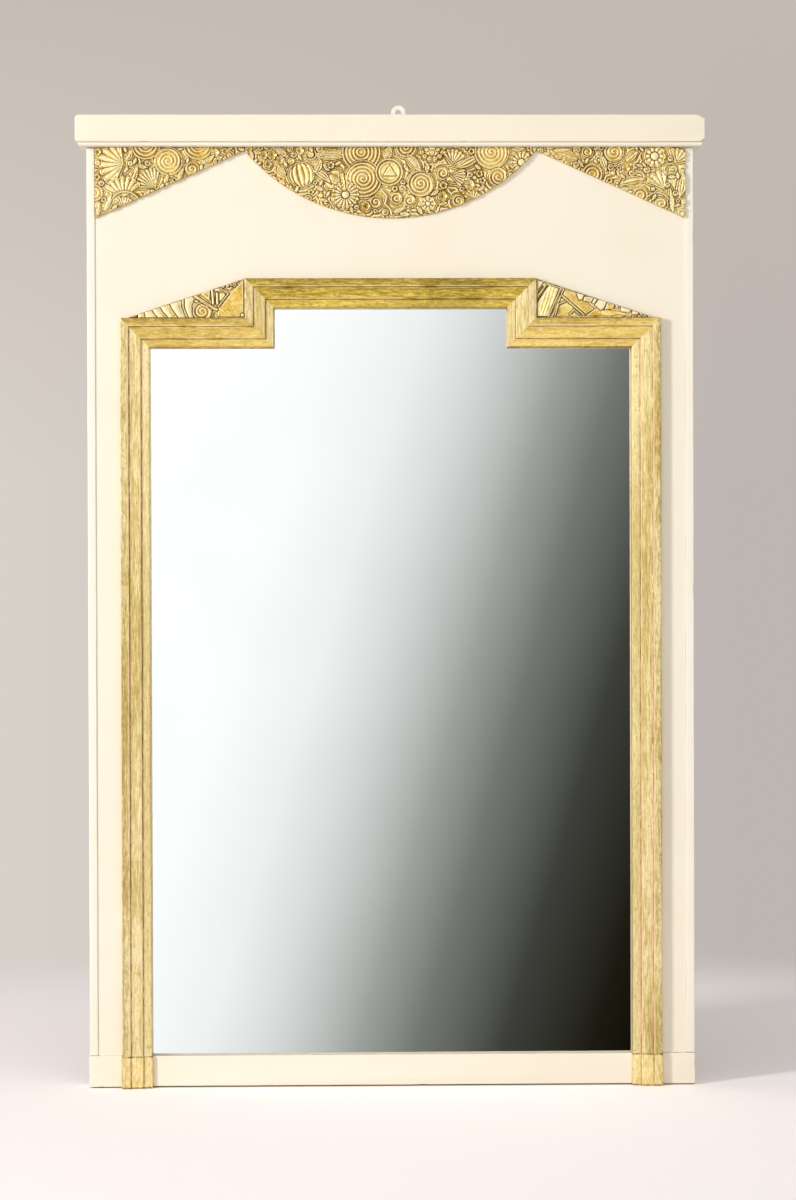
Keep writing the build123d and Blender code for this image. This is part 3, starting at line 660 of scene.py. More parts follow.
def plinthBlock(node, side, seed):
    low, high = cadSize(node)
    across, rise, recess, rubAndHighlight = giltProfile()
    width = high[0] - low[0]
    place = across / gilt["width"] * width
    x = (low[0] + place) if side < 0 else (high[0] - place)
    backY = high[1]
    y = np.minimum(gilt["faceY"] - rise - plinth["proud"], backY)
    y = np.maximum(y, low[1])
    y[0] = backY
    y[-1] = backY
    middle = (low[0] + high[0]) / 2
    rings, hollows, rubs = [], [], []
    for step in range(plinth["sections"] + 1):
        t = step / plinth["sections"]
        z = low[2] + (high[2] - low[2]) * (0.5 - 0.5 * math.cos(math.pi * t))
        edge = min(z - low[2], high[2] - z)
        pull = max(0.0, 1 - edge / plinth["edge"])
        inset = plinth["edge"] * (1 - math.sqrt(1 - pull * pull)) * 0.6
        broken = np.clip(0.75 + 1.1 * softNoise(z, across * 3, 7, seed + 2), 0.1, 1)
        clogged = plinth["filled"] * (recess > 0.9) * (1 - broken)
        stray = plinth["wander"] * softNoise(z, across * 2, 14, seed)
        ringX = middle + (x - middle) * (1 - inset / (width / 2))
        ringY = np.minimum(y + inset + np.abs(stray) - clogged, backY)
        rings.append(np.column_stack([ringX, ringY, np.full(len(x), z)]))
        # painted shade: the same dark band runs along the foot where the block stands on the floor
        joint = min(1.0, max(0.0, 2.2 * (1 - edge / plinth["joint"])))
        gap = joint * np.clip(0.9 + 0.5 * softNoise(across, z, 5, seed + 3), 0.5, 1)
        hollows.append(np.clip(np.maximum(recess * broken, gap), 0, 1))
        rubs.append(np.clip(rubAndHighlight * 0.6 + pull * 0.5, 0, 1))
    if side > 0:
        rings = [ring[::-1] for ring in rings]
        hollows = [values[::-1] for values in hollows]
        rubs = [values[::-1] for values in rubs]
    piece = makeMesh(node + "_gilt", np.concatenate(rings), skin(rings), {
        "dirtAndShade": np.concatenate(hollows), "rubAndHighlight": np.concatenate(rubs)}, gilt["sharpAngle"])
    dress(piece, node, plinthGilt)


plinthBlock("plinth_block_left", -1, 71)
plinthBlock("plinth_block_right", 1, 72)
print("plinth blocks ready")


# Carved relief: each motif gives its signed distance to the outline in mm and its own height 0 to 1
def turned(x, z, motif):
    angle = math.radians(motif.get("turn", 0))
    dx = x - motif["at"][0]
    dz = z - motif["at"][1]
    return dx * math.cos(angle) + dz * math.sin(angle), dz * math.cos(angle) - dx * math.sin(angle)


def spiralRose(x, z, motif):
    u, v = turned(x, z, motif)
    rho = np.hypot(u, v) / motif["r"]
    angle = np.arctan2(v, u) / (2 * math.pi)
    wind = rho * motif["r"] / carving["ridge"] + motif.get("spin", 1) * angle + 0.5
    ridge = (0.5 - 0.5 * np.cos(2 * math.pi * wind)) ** 1.4
    return (rho - 1) * motif["r"], 0.42 + 0.14 * (1 - rho) + 0.42 * ridge


def ringedDisc(x, z, motif):
    u, v = turned(x, z, motif)
    rho = np.hypot(u, v) / motif["r"]
    ridge = (0.5 + 0.5 * np.cos(2 * math.pi * ((1 - rho) * motif["r"] - 1.5) / carving["ridge"])) ** 1.4
    dish = motif.get("dish", 0.0)
    inner = np.clip((rho - dish) * 12, 0, 1)
    return (rho - 1) * motif["r"], inner * (0.42 + 0.46 * ridge) + (1 - inner) * 0.5


def petalFlower(x, z, motif):
    u, v = turned(x, z, motif)
    rho = np.hypot(u, v) / motif["r"]
    petal = np.abs(np.cos(motif.get("petals", 12) / 2 * np.arctan2(v, u)))
    rim = 0.84 + 0.16 * petal ** 0.5
    eye = motif.get("eye", 0.3)
    leaf = 0.3 + 0.6 * petal ** 0.6 * np.clip(1.3 - 0.5 * rho, 0, 1)
    button = 0.55 + 0.4 * np.sqrt(np.clip(1 - (rho / eye) ** 2, 0, 1))
    return (rho - rim) * motif["r"], np.where(rho < eye, button, leaf * np.clip((rho - eye) * 8, 0.35, 1))


def ribbedGourd(x, z, motif):
    u, v = turned(x, z, motif)
    a = u / motif["r"]
    b = v / (motif["r"] * motif.get("squash", 0.92))
    rho = np.hypot(a, b)
    meridian = np.arcsin(np.clip(a / np.sqrt(np.clip(1 - b * b, 0.02, 1)), -1, 1)) / math.pi
    rib = np.abs(np.cos(math.pi * motif.get("ribs", 6) * meridian)) ** 0.9
    dome = np.sqrt(np.clip(1 - rho ** 2, 0, 1))
    return (rho - 1) * motif["r"], 0.12 + 0.3 * dome + (0.28 + 0.3 * dome) * rib


def longLeaf(x, z, motif):
    u, v = turned(x, z, motif)
    length = motif["long"]
    t = np.clip(u / length + 0.5, 0, 1)
    v = v - motif.get("bend", 0) * 4 * t * (1 - t)
    half = motif["wide"] / 2 * np.sin(math.pi * t ** motif.get("fullness", 0.8)) + 0.01
    edge = np.maximum(np.abs(v) - half, np.abs(u) - length / 2)
    q = np.clip(v / half, -1, 1)
    stripes = motif.get("stripes", 3)
    ridge = np.abs(np.cos(math.pi / 2 * stripes * q)) ** 0.7
    return edge, 0.3 + 0.28 * np.sqrt(1 - q * q) + 0.38 * ridge * np.sqrt(1 - 0.6 * q * q)


def ribbedFan(x, z, motif):
    u, v = turned(x, z, motif)
    rho = np.hypot(u, v) / motif["r"]
    spread = math.radians(motif.get("spread", 120))
    angle = np.arctan2(v, u)
    angle = angle + motif.get("curl", 0) * rho
    ribs = motif.get("ribs", 7)
    rib = np.abs(np.sin(math.pi * ribs * (angle / spread + 0.5)))
    rim = 0.86 + 0.14 * rib ** 0.5
    sides = (np.abs(angle) - spread / 2) * np.clip(rho, 0.1, 1) * motif["r"]
    edge = np.maximum((rho - rim) * motif["r"], sides)
    return edge, 0.28 + 0.34 * rib ** 0.6 + 0.3 * np.clip(rho, 0, 1) * rib ** 0.5


def bead(x, z, motif):
    u, v = turned(x, z, motif)
    rho = np.hypot(u, v) / motif["r"]
    return (rho - 1) * motif["r"], 0.4 + 0.5 * np.sqrt(np.clip(1 - rho ** 2, 0, 1))


def floret(x, z, motif):
    u, v = turned(x, z, motif)
    rho = np.hypot(u, v) / motif["r"]
    petal = np.abs(np.cos(2.5 * np.arctan2(v, u)))
    rim = 0.72 + 0.28 * petal ** 0.5
    dimple = np.exp(-(rho / 0.22) ** 2)
    ring = np.exp(-((rho - 0.6) / 0.28) ** 2)
    return (rho - rim) * motif["r"], 0.35 + 0.45 * ring * (0.5 + 0.5 * petal) - 0.2 * dimple


def scrollStem(x, z, motif):
    points = np.array(motif["line"], float)
    near = np.full(x.shape, 1e9)
    for a, b in zip(points[:-1], points[1:]):
        ab = b - a
        t = np.clip(((x - a[0]) * ab[0] + (z - a[1]) * ab[1]) / (ab @ ab), 0, 1)
        near = np.minimum(near, np.hypot(x - a[0] - t * ab[0], z - a[1] - t * ab[1]))
    half = motif.get("wide", 3.2) / 2
    return near - half, 0.38 + 0.42 * np.sqrt(np.clip(1 - (near / half) ** 2, 0, 1))


def halfRing(x, z, motif):
    u, v = turned(x, z, motif)
    reach = np.hypot(u, v)
    half = motif.get("wide", 2.6) / 2
    sweep = math.radians(motif.get("sweep", 180)) / 2
    off = np.abs(reach - motif["r"])
    edge = np.maximum(off - half, (np.abs(np.arctan2(v, u)) - sweep) * motif["r"])
    return edge, 0.45 + 0.45 * np.sqrt(np.clip(1 - (off / half) ** 2, 0, 1))


# a strip between two curved lines, each given from the foot up; its crown lies left of the middle
def curvedRib(x, z, motif):
    left = np.interp(z, [p[1] for p in motif["left"]], [p[0] for p in motif["left"]])
    right = np.interp(z, [p[1] for p in motif["right"]], [p[0] for p in motif["right"]])
    share = np.clip((x - left) / (right - left), 0, 1)
    return np.maximum(left - x, x - right) * 0.85, 0.9 - 0.55 * np.abs(share - 0.32) ** 1.3


# a flat facet with straight sides; corners run anticlockwise
def facet(x, z, motif):
    corners = np.array(motif["corners"], float)
    edge = np.full(x.shape, -1e9)
    for a, b in zip(corners, np.roll(corners, -1, axis=0)):
        along = (b - a) / np.linalg.norm(b - a)
        edge = np.maximum(edge, (x - a[0]) * along[1] - (z - a[1]) * along[0])
    tilt = motif.get("tilt", (0, 0))
    middle = corners.mean(axis=0)
    level = motif.get("level", 0.6) + ((x - middle[0]) * tilt[0] + (z - middle[1]) * tilt[1]) / 100
    angle = math.radians(motif.get("strokes", 0))
    combed = motif.get("combed", 0.0) * np.abs(np.sin((x * math.cos(angle) + z * math.sin(angle)) * 0.6))
    return edge, np.clip(level - combed, 0.05, 1)


carving = {
    "faceY": -8.0,
    "grid": 1.0,             # mm between mesh points
    "ground": 3.3,           # mm, the leanest carving over the board
    "relief": 6.6,           # mm from ground to crown
    "cut": 0.26,             # share of the relief that the outline cuts take
    "cutWidth": 1.3,
    "rim": 1.15,             # mm, half width of the raised edge round each motif
    "ridge": 6.0,            # mm from one ridge of a spiral or ring to the next
    "ripple": 6.2,           # mm between the tool marks that follow the motifs
    "patches": 0.3,          # how much handled and dull patches differ
    "patchSize": 24,         # mm
    "cutDirtAndShade": 7.5,          # how much dirt and painted shade darken the cuts
    "lowGroundShade": 1.5,          # and how much painted shade darkens the low ground between the motifs
    "swept": 0.25,           # what brushing takes off everywhere
    "crownRubAndHighlight": 24,          # how much the ridges are painted pale, as rubbed leaf and as a painted highlight on the crowns
    "flatRub": 0.14,         # and the flat places
    "neck": 5.0,             # mm of carving left where two pieces meet under the cornice
    "sharpAngle": 75,        # degrees
}

# places that differ (x, z, reach in mm, amount): above 0 rubbed to pale ground, below 0 dull
handledSpots = {
    "frieze_carving_centre": [
        (-48, 1543, 20, -0.35), (72, 1537, 22, -0.4), (112, 1472, 24, -0.35), (-30, 1466, 26, -0.2),
        (-2, 1508, 18, -0.15), (-190, 1530, 22, 0.15), (60, 1460, 16, 0.15)],
    "frieze_carving_left": [(-474, 1468, 19, 1.3), (-462, 1452, 14, 1.3), (-484, 1500, 8, 0.8)],
    "frieze_carving_right": [
        (447, 1490, 13, 0.8), (480, 1445, 14, 0.8), (479, 1470, 11, 0.5), (420, 1525, 40, 0.3)],
}


# presses a motif into the relief; a bare setting paints its crowns pale, as rubbed leaf and painted
# highlight, and a dull one leaves it dirty
def stamp(height, taken, wear, x, z, motif):
    edge, shape = motif["kind"](x, z, motif)
    inside = edge < 0
    soft = np.clip(-edge / 1.3, 0, 1) ** 0.6        # rounds the motif off at its outline
    raised = 0.0 if motif["kind"] in (facet, curvedRib) else 1.0
    rim = raised * 0.84 * np.exp(-((edge + 1.5) / carving["rim"]) ** 2)
    dish = raised * np.exp(-((edge + 3.9) / carving["rim"]) ** 2)
    height[inside] = np.maximum(shape * (0.6 + 0.3 * soft) - 0.12 * dish, rim)[inside]
    baredAndLit = motif.get("baredAndLit", 0.0) * np.clip((shape - 0.66) / 0.18, 0, 1) - motif.get("dulled", 0.0)
    wear[inside] = np.where(edge < -0.6, baredAndLit, 0)[inside]
    cut = np.clip(1 - np.abs(edge - 0.5) / carving["cutWidth"], 0, 1) ** 1.4
    height -= carving["cut"] * cut * np.where(inside, 0.4 + 0.5 * (1 - raised), 1.0)
    taken |= edge < 1.0
    return edge


# fills what is left between the motifs with small buds, florets and leaflets
def scatterSmall(height, taken, wear, x, z, fillers, seed):
    rng = random.Random(seed)
    rows, columns = x.shape
    for _ in range(fillers["count"]):
        i = rng.randrange(rows)
        j = rng.randrange(columns)
        size = rng.uniform(*fillers["sizes"])
        spot = (x[i, j], z[i, j])
        near = np.hypot(x - spot[0], z - spot[1]) < size * 0.75
        if taken[near].mean() > 0.12:
            continue
        pick = rng.random()
        turn = rng.uniform(0, 360)
        if pick < 0.22:
            motif = {"kind": floret, "at": spot, "r": size, "turn": turn}
        elif pick < 0.72:
            motif = {
                "kind": longLeaf, "at": spot, "long": size * 2.6, "wide": size * 1.2, "turn": turn,
                "stripes": 3}
        elif pick < 0.92:
            motif = {"kind": spiralRose, "at": spot, "r": size, "spin": rng.choice((-1, 1))}
        else:
            motif = {"kind": bead, "at": spot, "r": size * 0.62}
        stamp(height, taken, wear, x, z, motif)


# each pass mixes a point with its four neighbours
def blurred(field, passes):
    for _ in range(passes):
        padded = np.pad(field, 1, mode="edge")
        around = padded[:-2, 1:-1] + padded[2:, 1:-1] + padded[1:-1, :-2] + padded[1:-1, 2:]
        field = (around + 2 * field) / 6
    return field


# the whole panel's height 0 to 1 and its wear; rim is the distance to the upper or lower line
def carvedHeight(x, z, rim, motifs, fillers, seed):
    height = 0.3 + 0.05 * softNoise(x, z, 7, seed + 1)
    taken = np.zeros(x.shape, bool)
    wear = np.zeros(x.shape)
    away = np.full(x.shape, 1e3)
    for motif in motifs:
        away = np.minimum(away, stamp(height, taken, wear, x, z, motif))
    waves = np.cos(2 * math.pi * (away + 0.8 * softNoise(x, z, 9, seed + 4)) / carving["ripple"])
    height += np.where(away > 0.6, 0.22 * waves, 0)
    scatterSmall(height, taken, wear, x, z, fillers, seed)
    height += 0.03 * softNoise(x, z, 5, seed + 2) + 0.015 * softNoise(x, z, 2, seed + 3)
    height = np.clip(height, 0, 1) * (0.8 + 0.2 * np.clip(rim / 1.6, 0, 1))
    return height, wear


# where dirt and painted shade lie and where the leaf is rubbed or painted with a highlight, both 0 to 1, for
# the material
def carvedWear(node, x, z, rim, height, wear, line, seed):
    # painted shade: cuts and low ground are darkened as if shaded, the cuts also holding dirt
    recess = blurred(height, 4) - height
    sunk = np.clip(blurred(height, 60) - height, 0, 1)
    wear = wear + carving["patches"] * softNoise(x, z, carving["patchSize"], seed + 5)
    for spotX, spotZ, reach, amount in handledSpots.get(node, []):
        wear += amount * np.exp(-np.hypot(x - spotX, z - spotZ) ** 2 / reach ** 2)
    line = line * np.exp(-(rim / 1.3) ** 2)
    dirtAndShade = recess * carving["cutDirtAndShade"] + sunk * carving["lowGroundShade"] - carving["swept"]
    dirtAndShade -= wear * (wear < 0)
    dirtAndShade = np.clip(dirtAndShade * (1 - 0.6 * np.clip(wear, 0, 1)) + line, 0, 0.95)
    rubAndHighlight = np.clip(-recess * carving["crownRubAndHighlight"] + carving["flatRub"] - sunk + wear - line, 0, 1)
    return dirtAndShade, rubAndHighlight


# quads over the front, then the strips above, below and behind it, then the two ends
def panelFaces(rows, columns):
    index = np.arange(rows * columns).reshape(rows, columns)
    quads = np.stack([index[:-1, :-1], index[:-1, 1:], index[1:, 1:], index[1:, :-1]], axis=-1)
    faces = [tuple(q) for q in quads.reshape(-1, 4).tolist()]
    b = rows * columns       # first point of the row at the back's foot
    t = b + columns          # and of the row at its top
    for j in range(columns - 1):
        faces.append((b + j, b + j + 1, j + 1, j))
        faces.append((index[-1, j], index[-1, j + 1], t + j + 1, t + j))
        faces.append((t + j, t + j + 1, b + j + 1, b + j))
    faces.append(tuple([b] + index[:, 0].tolist() + [t]))
    faces.append(tuple([t + columns - 1] + index[::-1, -1].tolist() + [b + columns - 1]))
    return faces


# one carved panel between a lower and an upper line, closed at back and sides
def carvedPanel(node, lower, upper, motifs, fillers, seed):
    low, high = cadSize(node)
    columns = int((high[0] - low[0]) / carving["grid"]) + 1
    tall = max(upper(x) - lower(x) for x in (low[0], high[0], (low[0] + high[0]) / 2))
    rows = int(tall / carving["grid"]) + 1
    across = np.linspace(low[0], high[0], columns)
    floor = np.array([lower(x) for x in across])
    roof = np.array([upper(x) for x in across])
    v = np.linspace(0, 1, rows)[:, None]
    x = np.broadcast_to(across, (rows, columns)).copy()
    z = floor + (roof - floor) * v
    rim = np.minimum(z - floor, roof - z)
    height, wear = carvedHeight(x, z, rim, motifs, fillers, seed)
    dirtAndShade, rubAndHighlight = carvedWear(node, x, z, rim, height, wear, fillers.get("line", 0.0), seed)
    thickness = (high[1] - low[1]) / (carving["ground"] + carving["relief"])
    y = carving["faceY"] - thickness * (carving["ground"] + carving["relief"] * height)
    front = np.stack([x, y, z], axis=-1).reshape(-1, 3)
    backRow = np.column_stack([across, np.full(columns, carving["faceY"]), floor])
    topRow = np.column_stack([across, np.full(columns, carving["faceY"]), roof])
    backTrait = np.zeros(2 * columns)
    piece = makeMesh(node + "_relief", np.concatenate([front, backRow, topRow]), panelFaces(rows, columns), {
        "dirtAndShade": np.concatenate([dirtAndShade.ravel(), backTrait + 0.6]),
        "rubAndHighlight": np.concatenate([rubAndHighlight.ravel(), backTrait])}, carving["sharpAngle"])
    dress(piece, node, carvedGilt)


# Swag under the cornice: roses, gourds, shells and daisies crowded round a ringed disc
swagMotifs = [
    {"kind": longLeaf, "at": (-93, 1537), "long": 62, "wide": 20, "turn": 2, "stripes": 7},
    {"kind": longLeaf, "at": (-180, 1541), "long": 34, "wide": 13, "turn": -35, "stripes": 5},
    {"kind": ringedDisc, "at": (-48, 1541), "r": 32, "dish": 0.1},
    {"kind": ringedDisc, "at": (26, 1549), "r": 17},
    {"kind": longLeaf, "at": (-4, 1540), "long": 26, "wide": 17, "turn": 70, "stripes": 7},
    {"kind": longLeaf, "at": (40, 1522), "long": 40, "wide": 15, "turn": -52, "stripes": 5},
    {"kind": spiralRose, "at": (-45, 1497), "r": 31, "spin": -1},
    {"kind": ringedDisc, "at": (-2, 1508), "r": 23, "dish": 0.62},
    {"kind": facet, "corners": [(-12, 1502), (10, 1502), (-1, 1520)], "level": 0.8},
    {"kind": ribbedGourd, "at": (-147, 1504), "r": 23, "ribs": 7, "turn": 12},
    {"kind": bead, "at": (-163, 1526), "r": 6},
    {"kind": ribbedGourd, "at": (-93, 1496), "r": 20, "squash": 0.62, "ribs": 4, "turn": 62},
    {"kind": longLeaf, "at": (-112, 1500), "long": 38, "wide": 13, "turn": -38, "stripes": 3, "bend": 3},
    {"kind": petalFlower, "at": (-74, 1471), "r": 23, "petals": 18, "eye": 0.26},
    {"kind": scrollStem, "line": [(-80, 1504), (-78, 1492), (-76, 1480)], "wide": 7},
    {"kind": longLeaf, "at": (-118, 1518), "long": 24, "wide": 13, "turn": 65, "stripes": 3},
    {"kind": floret, "at": (-149, 1543), "r": 8},
    {"kind": bead, "at": (-131, 1537), "r": 5.5},
    {"kind": halfRing, "at": (-131, 1537), "r": 9, "sweep": 230, "turn": -60},
    {"kind": floret, "at": (-208, 1536), "r": 8},
    {"kind": floret, "at": (-194, 1536), "r": 8.5},
    {"kind": floret, "at": (-181, 1528), "r": 8},
    {"kind": floret, "at": (-201, 1521), "r": 7},
    {"kind": longLeaf, "at": (-178, 1511), "long": 22, "wide": 9, "turn": -50, "stripes": 3},
    {"kind": petalFlower, "at": (69, 1549), "r": 23, "petals": 14, "eye": 0.62},
    {"kind": bead, "at": (60, 1545), "r": 4},
    {"kind": bead, "at": (69, 1540), "r": 4.2},
    {"kind": bead, "at": (78, 1545), "r": 4},
    {"kind": spiralRose, "at": (50, 1489), "r": 22, "spin": 1},
    {"kind": longLeaf, "at": (106, 1501), "long": 66, "wide": 28, "turn": -16, "stripes": 1},
    {"kind": ribbedFan, "at": (96, 1504), "r": 28, "spread": 70, "turn": -14, "ribs": 6},
    {"kind": spiralRose, "at": (87, 1506), "r": 11, "spin": -1},
    {"kind": ribbedFan, "at": (102, 1520), "r": 26, "spread": 100, "turn": 80, "ribs": 6},
    {"kind": longLeaf, "at": (132, 1526), "long": 46, "wide": 15, "turn": 28, "stripes": 3},
    {"kind": spiralRose, "at": (167, 1541), "r": 29, "spin": 1},
    {"kind": spiralRose, "at": (178, 1500), "r": 16, "spin": -1},
    {"kind": petalFlower, "at": (216, 1524), "r": 19, "petals": 14, "eye": 0.3},
    {"kind": longLeaf, "at": (212, 1546), "long": 24, "wide": 9, "turn": 5, "stripes": 3},
    {"kind": floret, "at": (131, 1487), "r": 9},
    {"kind": ribbedFan, "at": (136, 1462), "r": 15, "spread": 160, "turn": 85, "ribs": 7},
    {"kind": spiralRose, "at": (112, 1461), "r": 10, "spin": 1},
    {"kind": spiralRose, "at": (32, 1461), "r": 10, "spin": -1},
    {"kind": petalFlower, "at": (62, 1456), "r": 13, "petals": 8, "eye": 0.3},
    {"kind": floret, "at": (86, 1468), "r": 9},
    {"kind": scrollStem, "line": [(-14, 1478), (-6, 1468), (-9, 1456), (0, 1446), (2, 1438)], "wide": 4},
    {"kind": spiralRose, "at": (-24, 1459), "r": 10, "spin": 1},
    {"kind": spiralRose, "at": (10, 1465), "r": 10, "spin": -1},
    {"kind": floret, "at": (-40, 1452), "r": 8},
    {"kind": longLeaf, "at": (16, 1446), "long": 24, "wide": 8, "turn": 25, "stripes": 3},
]


# Left end: a shell and roses, an acanthus fan below, leaves down to the point
leftMotifs = [
    {"kind": ribbedFan, "at": (-438, 1521), "r": 42, "spread": 150, "turn": 172, "ribs": 8},
    {"kind": halfRing, "at": (-447, 1519), "r": 36, "sweep": 130, "turn": 62, "wide": 3.4},
    {"kind": ringedDisc, "at": (-402, 1553), "r": 25},
    {"kind": ringedDisc, "at": (-316, 1553), "r": 25, "dish": 0.3},
    {"kind": ribbedFan, "at": (-386, 1482), "r": 34, "spread": 105, "turn": 128, "ribs": 9},
    {"kind": spiralRose, "at": (-365, 1526), "r": 24, "spin": -1},
    {"kind": longLeaf, "at": (-429, 1536), "long": 20, "wide": 12, "turn": 60, "stripes": 2},
    {"kind": bead, "at": (-427, 1522), "r": 5},
    {"kind": longLeaf, "at": (-421, 1503), "long": 34, "wide": 12, "turn": 68, "stripes": 2},
    {"kind": ribbedFan, "at": (-438, 1466), "r": 36, "spread": 120, "turn": 95, "ribs": 7},
    {"kind": halfRing, "at": (-436, 1450), "r": 26, "sweep": 130, "turn": 92, "wide": 3.4},
    {"kind": ribbedFan, "at": (-438, 1448), "r": 20, "spread": 120, "turn": 88, "ribs": 8},
    {"kind": ringedDisc, "at": (-486, 1474), "r": 14},
    {"kind": longLeaf, "at": (-464, 1458), "long": 32, "wide": 10, "turn": 66, "stripes": 2},
    {"kind": longLeaf, "at": (-480, 1449), "long": 26, "wide": 9, "turn": 82, "stripes": 2},
    {"kind": spiralRose, "at": (-326, 1513), "r": 12, "spin": 1},
    {"kind": longLeaf, "at": (-345, 1505), "long": 28, "wide": 8, "turn": 62, "stripes": 2},
    {"kind": floret, "at": (-288, 1540), "r": 8},
    {"kind": floret, "at": (-272, 1542), "r": 6.5},
    {"kind": longLeaf, "at": (-298, 1529), "long": 26, "wide": 9, "turn": 36, "stripes": 3},
    {"kind": floret, "at": (-481, 1541), "r": 7},
    {"kind": floret, "at": (-482, 1500), "r": 6},
    {"kind": bead, "at": (-481, 1523), "r": 5},
]

# Right end: small spirals by the point of the field, leaves and a half flower towards the edge
rightMotifs = [
    {"kind": spiralRose, "at": (369, 1541), "r": 17, "spin": 1},
    {"kind": spiralRose, "at": (324, 1541), "r": 9, "spin": -1},
    {"kind": ringedDisc, "at": (333, 1505), "r": 17, "dish": 0.2},
    {"kind": longLeaf, "at": (352, 1522), "long": 30, "wide": 12, "turn": -72, "stripes": 3},
    {"kind": ringedDisc, "at": (410, 1500), "r": 10, "dish": 0.45},
    {"kind": longLeaf, "at": (400, 1492), "long": 44, "wide": 15, "turn": 10, "stripes": 2, "bend": 3},
    {"kind": longLeaf, "at": (399, 1534), "long": 28, "wide": 12, "turn": 40, "stripes": 2},
    {"kind": petalFlower, "at": (436, 1534), "r": 19, "petals": 10, "eye": 0.34},
    {"kind": ribbedFan, "at": (452, 1478), "r": 34, "spread": 75, "turn": 118, "ribs": 4},
    {"kind": halfRing, "at": (462, 1512), "r": 10, "sweep": 250, "turn": 120, "wide": 3},
    {"kind": spiralRose, "at": (466, 1512), "r": 7, "spin": 1},
    {"kind": ribbedFan, "at": (470, 1522), "r": 26, "spread": 95, "turn": 62, "ribs": 5},
    {"kind": longLeaf, "at": (480, 1488), "long": 44, "wide": 14, "turn": 82, "stripes": 3, "bend": -2},
    {"kind": ringedDisc, "at": (412, 1470), "r": 13},
    {"kind": halfRing, "at": (440, 1452), "r": 22, "sweep": 150, "turn": 60, "wide": 3.2},
    {"kind": spiralRose, "at": (447, 1456), "r": 12, "spin": -1},
    {"kind": longLeaf, "at": (464, 1462), "long": 46, "wide": 9, "turn": 96, "stripes": 1},
    {"kind": bead, "at": (484, 1459), "r": 5},
    {"kind": ringedDisc, "at": (482, 1439), "r": 9},
    {"kind": longLeaf, "at": (284, 1544), "long": 34, "wide": 7, "turn": 3, "stripes": 2},
    {"kind": longLeaf, "at": (300, 1532), "long": 24, "wide": 8, "turn": -20, "stripes": 2},
    {"kind": floret, "at": (388, 1513), "r": 8},
]


def friezeCarvings():
    low, high = cadSize("frieze_carving_centre")
    outer = cadSize("frieze_carving_right")[1][0]
    half = high[0]
    peak = high[2] - carving["neck"]
    drop = peak - low[2]
    radius = (half * half + drop * drop) / (2 * drop)

    def swagLine(x):
        return low[2] + radius - math.sqrt(radius * radius - x * x)

    def wedgeLine(x):
        return peak - (abs(x) - half) / (outer - half) * drop

    def topLine(x):
        return high[2]

    swagFill = {"count": 700, "sizes": (4.2, 7.5)}
    wedgeFill = {"count": 500, "sizes": (4.0, 7.0)}
    carvedPanel("frieze_carving_centre", swagLine, topLine, swagMotifs, swagFill, 11)
    carvedPanel("frieze_carving_left", wedgeLine, topLine, leftMotifs, wedgeFill, 12)
    carvedPanel("frieze_carving_right", wedgeLine, topLine, rightMotifs, wedgeFill, 13)


friezeCarvings()
print("frieze carvings ready")


# the cuts between the ribs of the left shoulder, each from the foot up
ribCuts = [
    [(-416, 1268), (-416, 1278)], [(-403, 1268), (-405, 1278)], [(-382, 1268), (-387, 1273), (-394, 1284)],
    [(-365, 1268), (-375, 1279), (-380, 1288)], [(-349, 1268), (-360, 1284), (-364, 1293)],
    [(-336, 1268), (-343, 1286), (-344, 1301)], [(-332, 1268), (-339, 1286), (-339, 1297), (-336, 1305)],
    [(-323, 1268), (-327, 1281), (-327, 1290), (-322, 1299), (-314, 1307)],
]

# Left shoulder: curved ribs that grow towards a rose, then a strap, bars, an arrow and a smooth field
leftSpandrelMotifs = [
    # the ribs' lit left halves are painted pale, a painted highlight
    {"kind": curvedRib, "left": ribCuts[0], "right": ribCuts[1], "baredAndLit": 0.35},
    {"kind": curvedRib, "left": ribCuts[1], "right": ribCuts[2], "baredAndLit": 0.7},
    {"kind": curvedRib, "left": ribCuts[2], "right": ribCuts[3], "baredAndLit": 0.6},
    {"kind": curvedRib, "left": ribCuts[3], "right": ribCuts[4], "baredAndLit": 0.5},
    {"kind": curvedRib, "left": ribCuts[4], "right": ribCuts[5], "baredAndLit": 0.65},
    {"kind": curvedRib, "left": ribCuts[5], "right": ribCuts[6], "baredAndLit": 0.8},
    {"kind": curvedRib, "left": ribCuts[6], "right": ribCuts[7], "baredAndLit": 0.75},
    {"kind": facet, "corners": [(-284, 1286), (-286, 1271), (-260, 1270), (-242, 1271), (-242, 1331),
     (-265, 1308)],
     "level": 0.5, "tilt": (0.2, 0.2), "dulled": 0.4},
    {"kind": facet, "corners": [(-290, 1312), (-272, 1312), (-277, 1319), (-289, 1316)],
     "level": 0.7, "baredAndLit": 0.3},
    {"kind": facet, "corners": [(-282, 1295), (-273, 1301), (-272, 1309), (-282, 1309)],
     "level": 0.75, "baredAndLit": 0.4},
    {"kind": facet, "corners": [(-313, 1308), (-298, 1295), (-297, 1314)], "level": 0.72, "baredAndLit": 0.35},
    {"kind": spiralRose, "at": (-310, 1279), "r": 16, "spin": 1, "baredAndLit": 0.9},
    {"kind": scrollStem, "line": [(-322, 1304), (-293, 1285), (-287, 1282)], "wide": 5.5},
    {"kind": facet, "corners": [(-296, 1315), (-294, 1290), (-290, 1290), (-292, 1316)],
     "level": 0.92, "baredAndLit": 1.0},
    {"kind": facet, "corners": [(-288, 1310), (-287, 1290), (-283, 1290), (-284, 1310)],
     "level": 0.9, "baredAndLit": 0.9},
    {"kind": scrollStem, "line": [(-280, 1317), (-267, 1308), (-284, 1287)], "wide": 3, "baredAndLit": 0.8},
    {"kind": bead, "at": (-244, 1273), "r": 3.2},
]

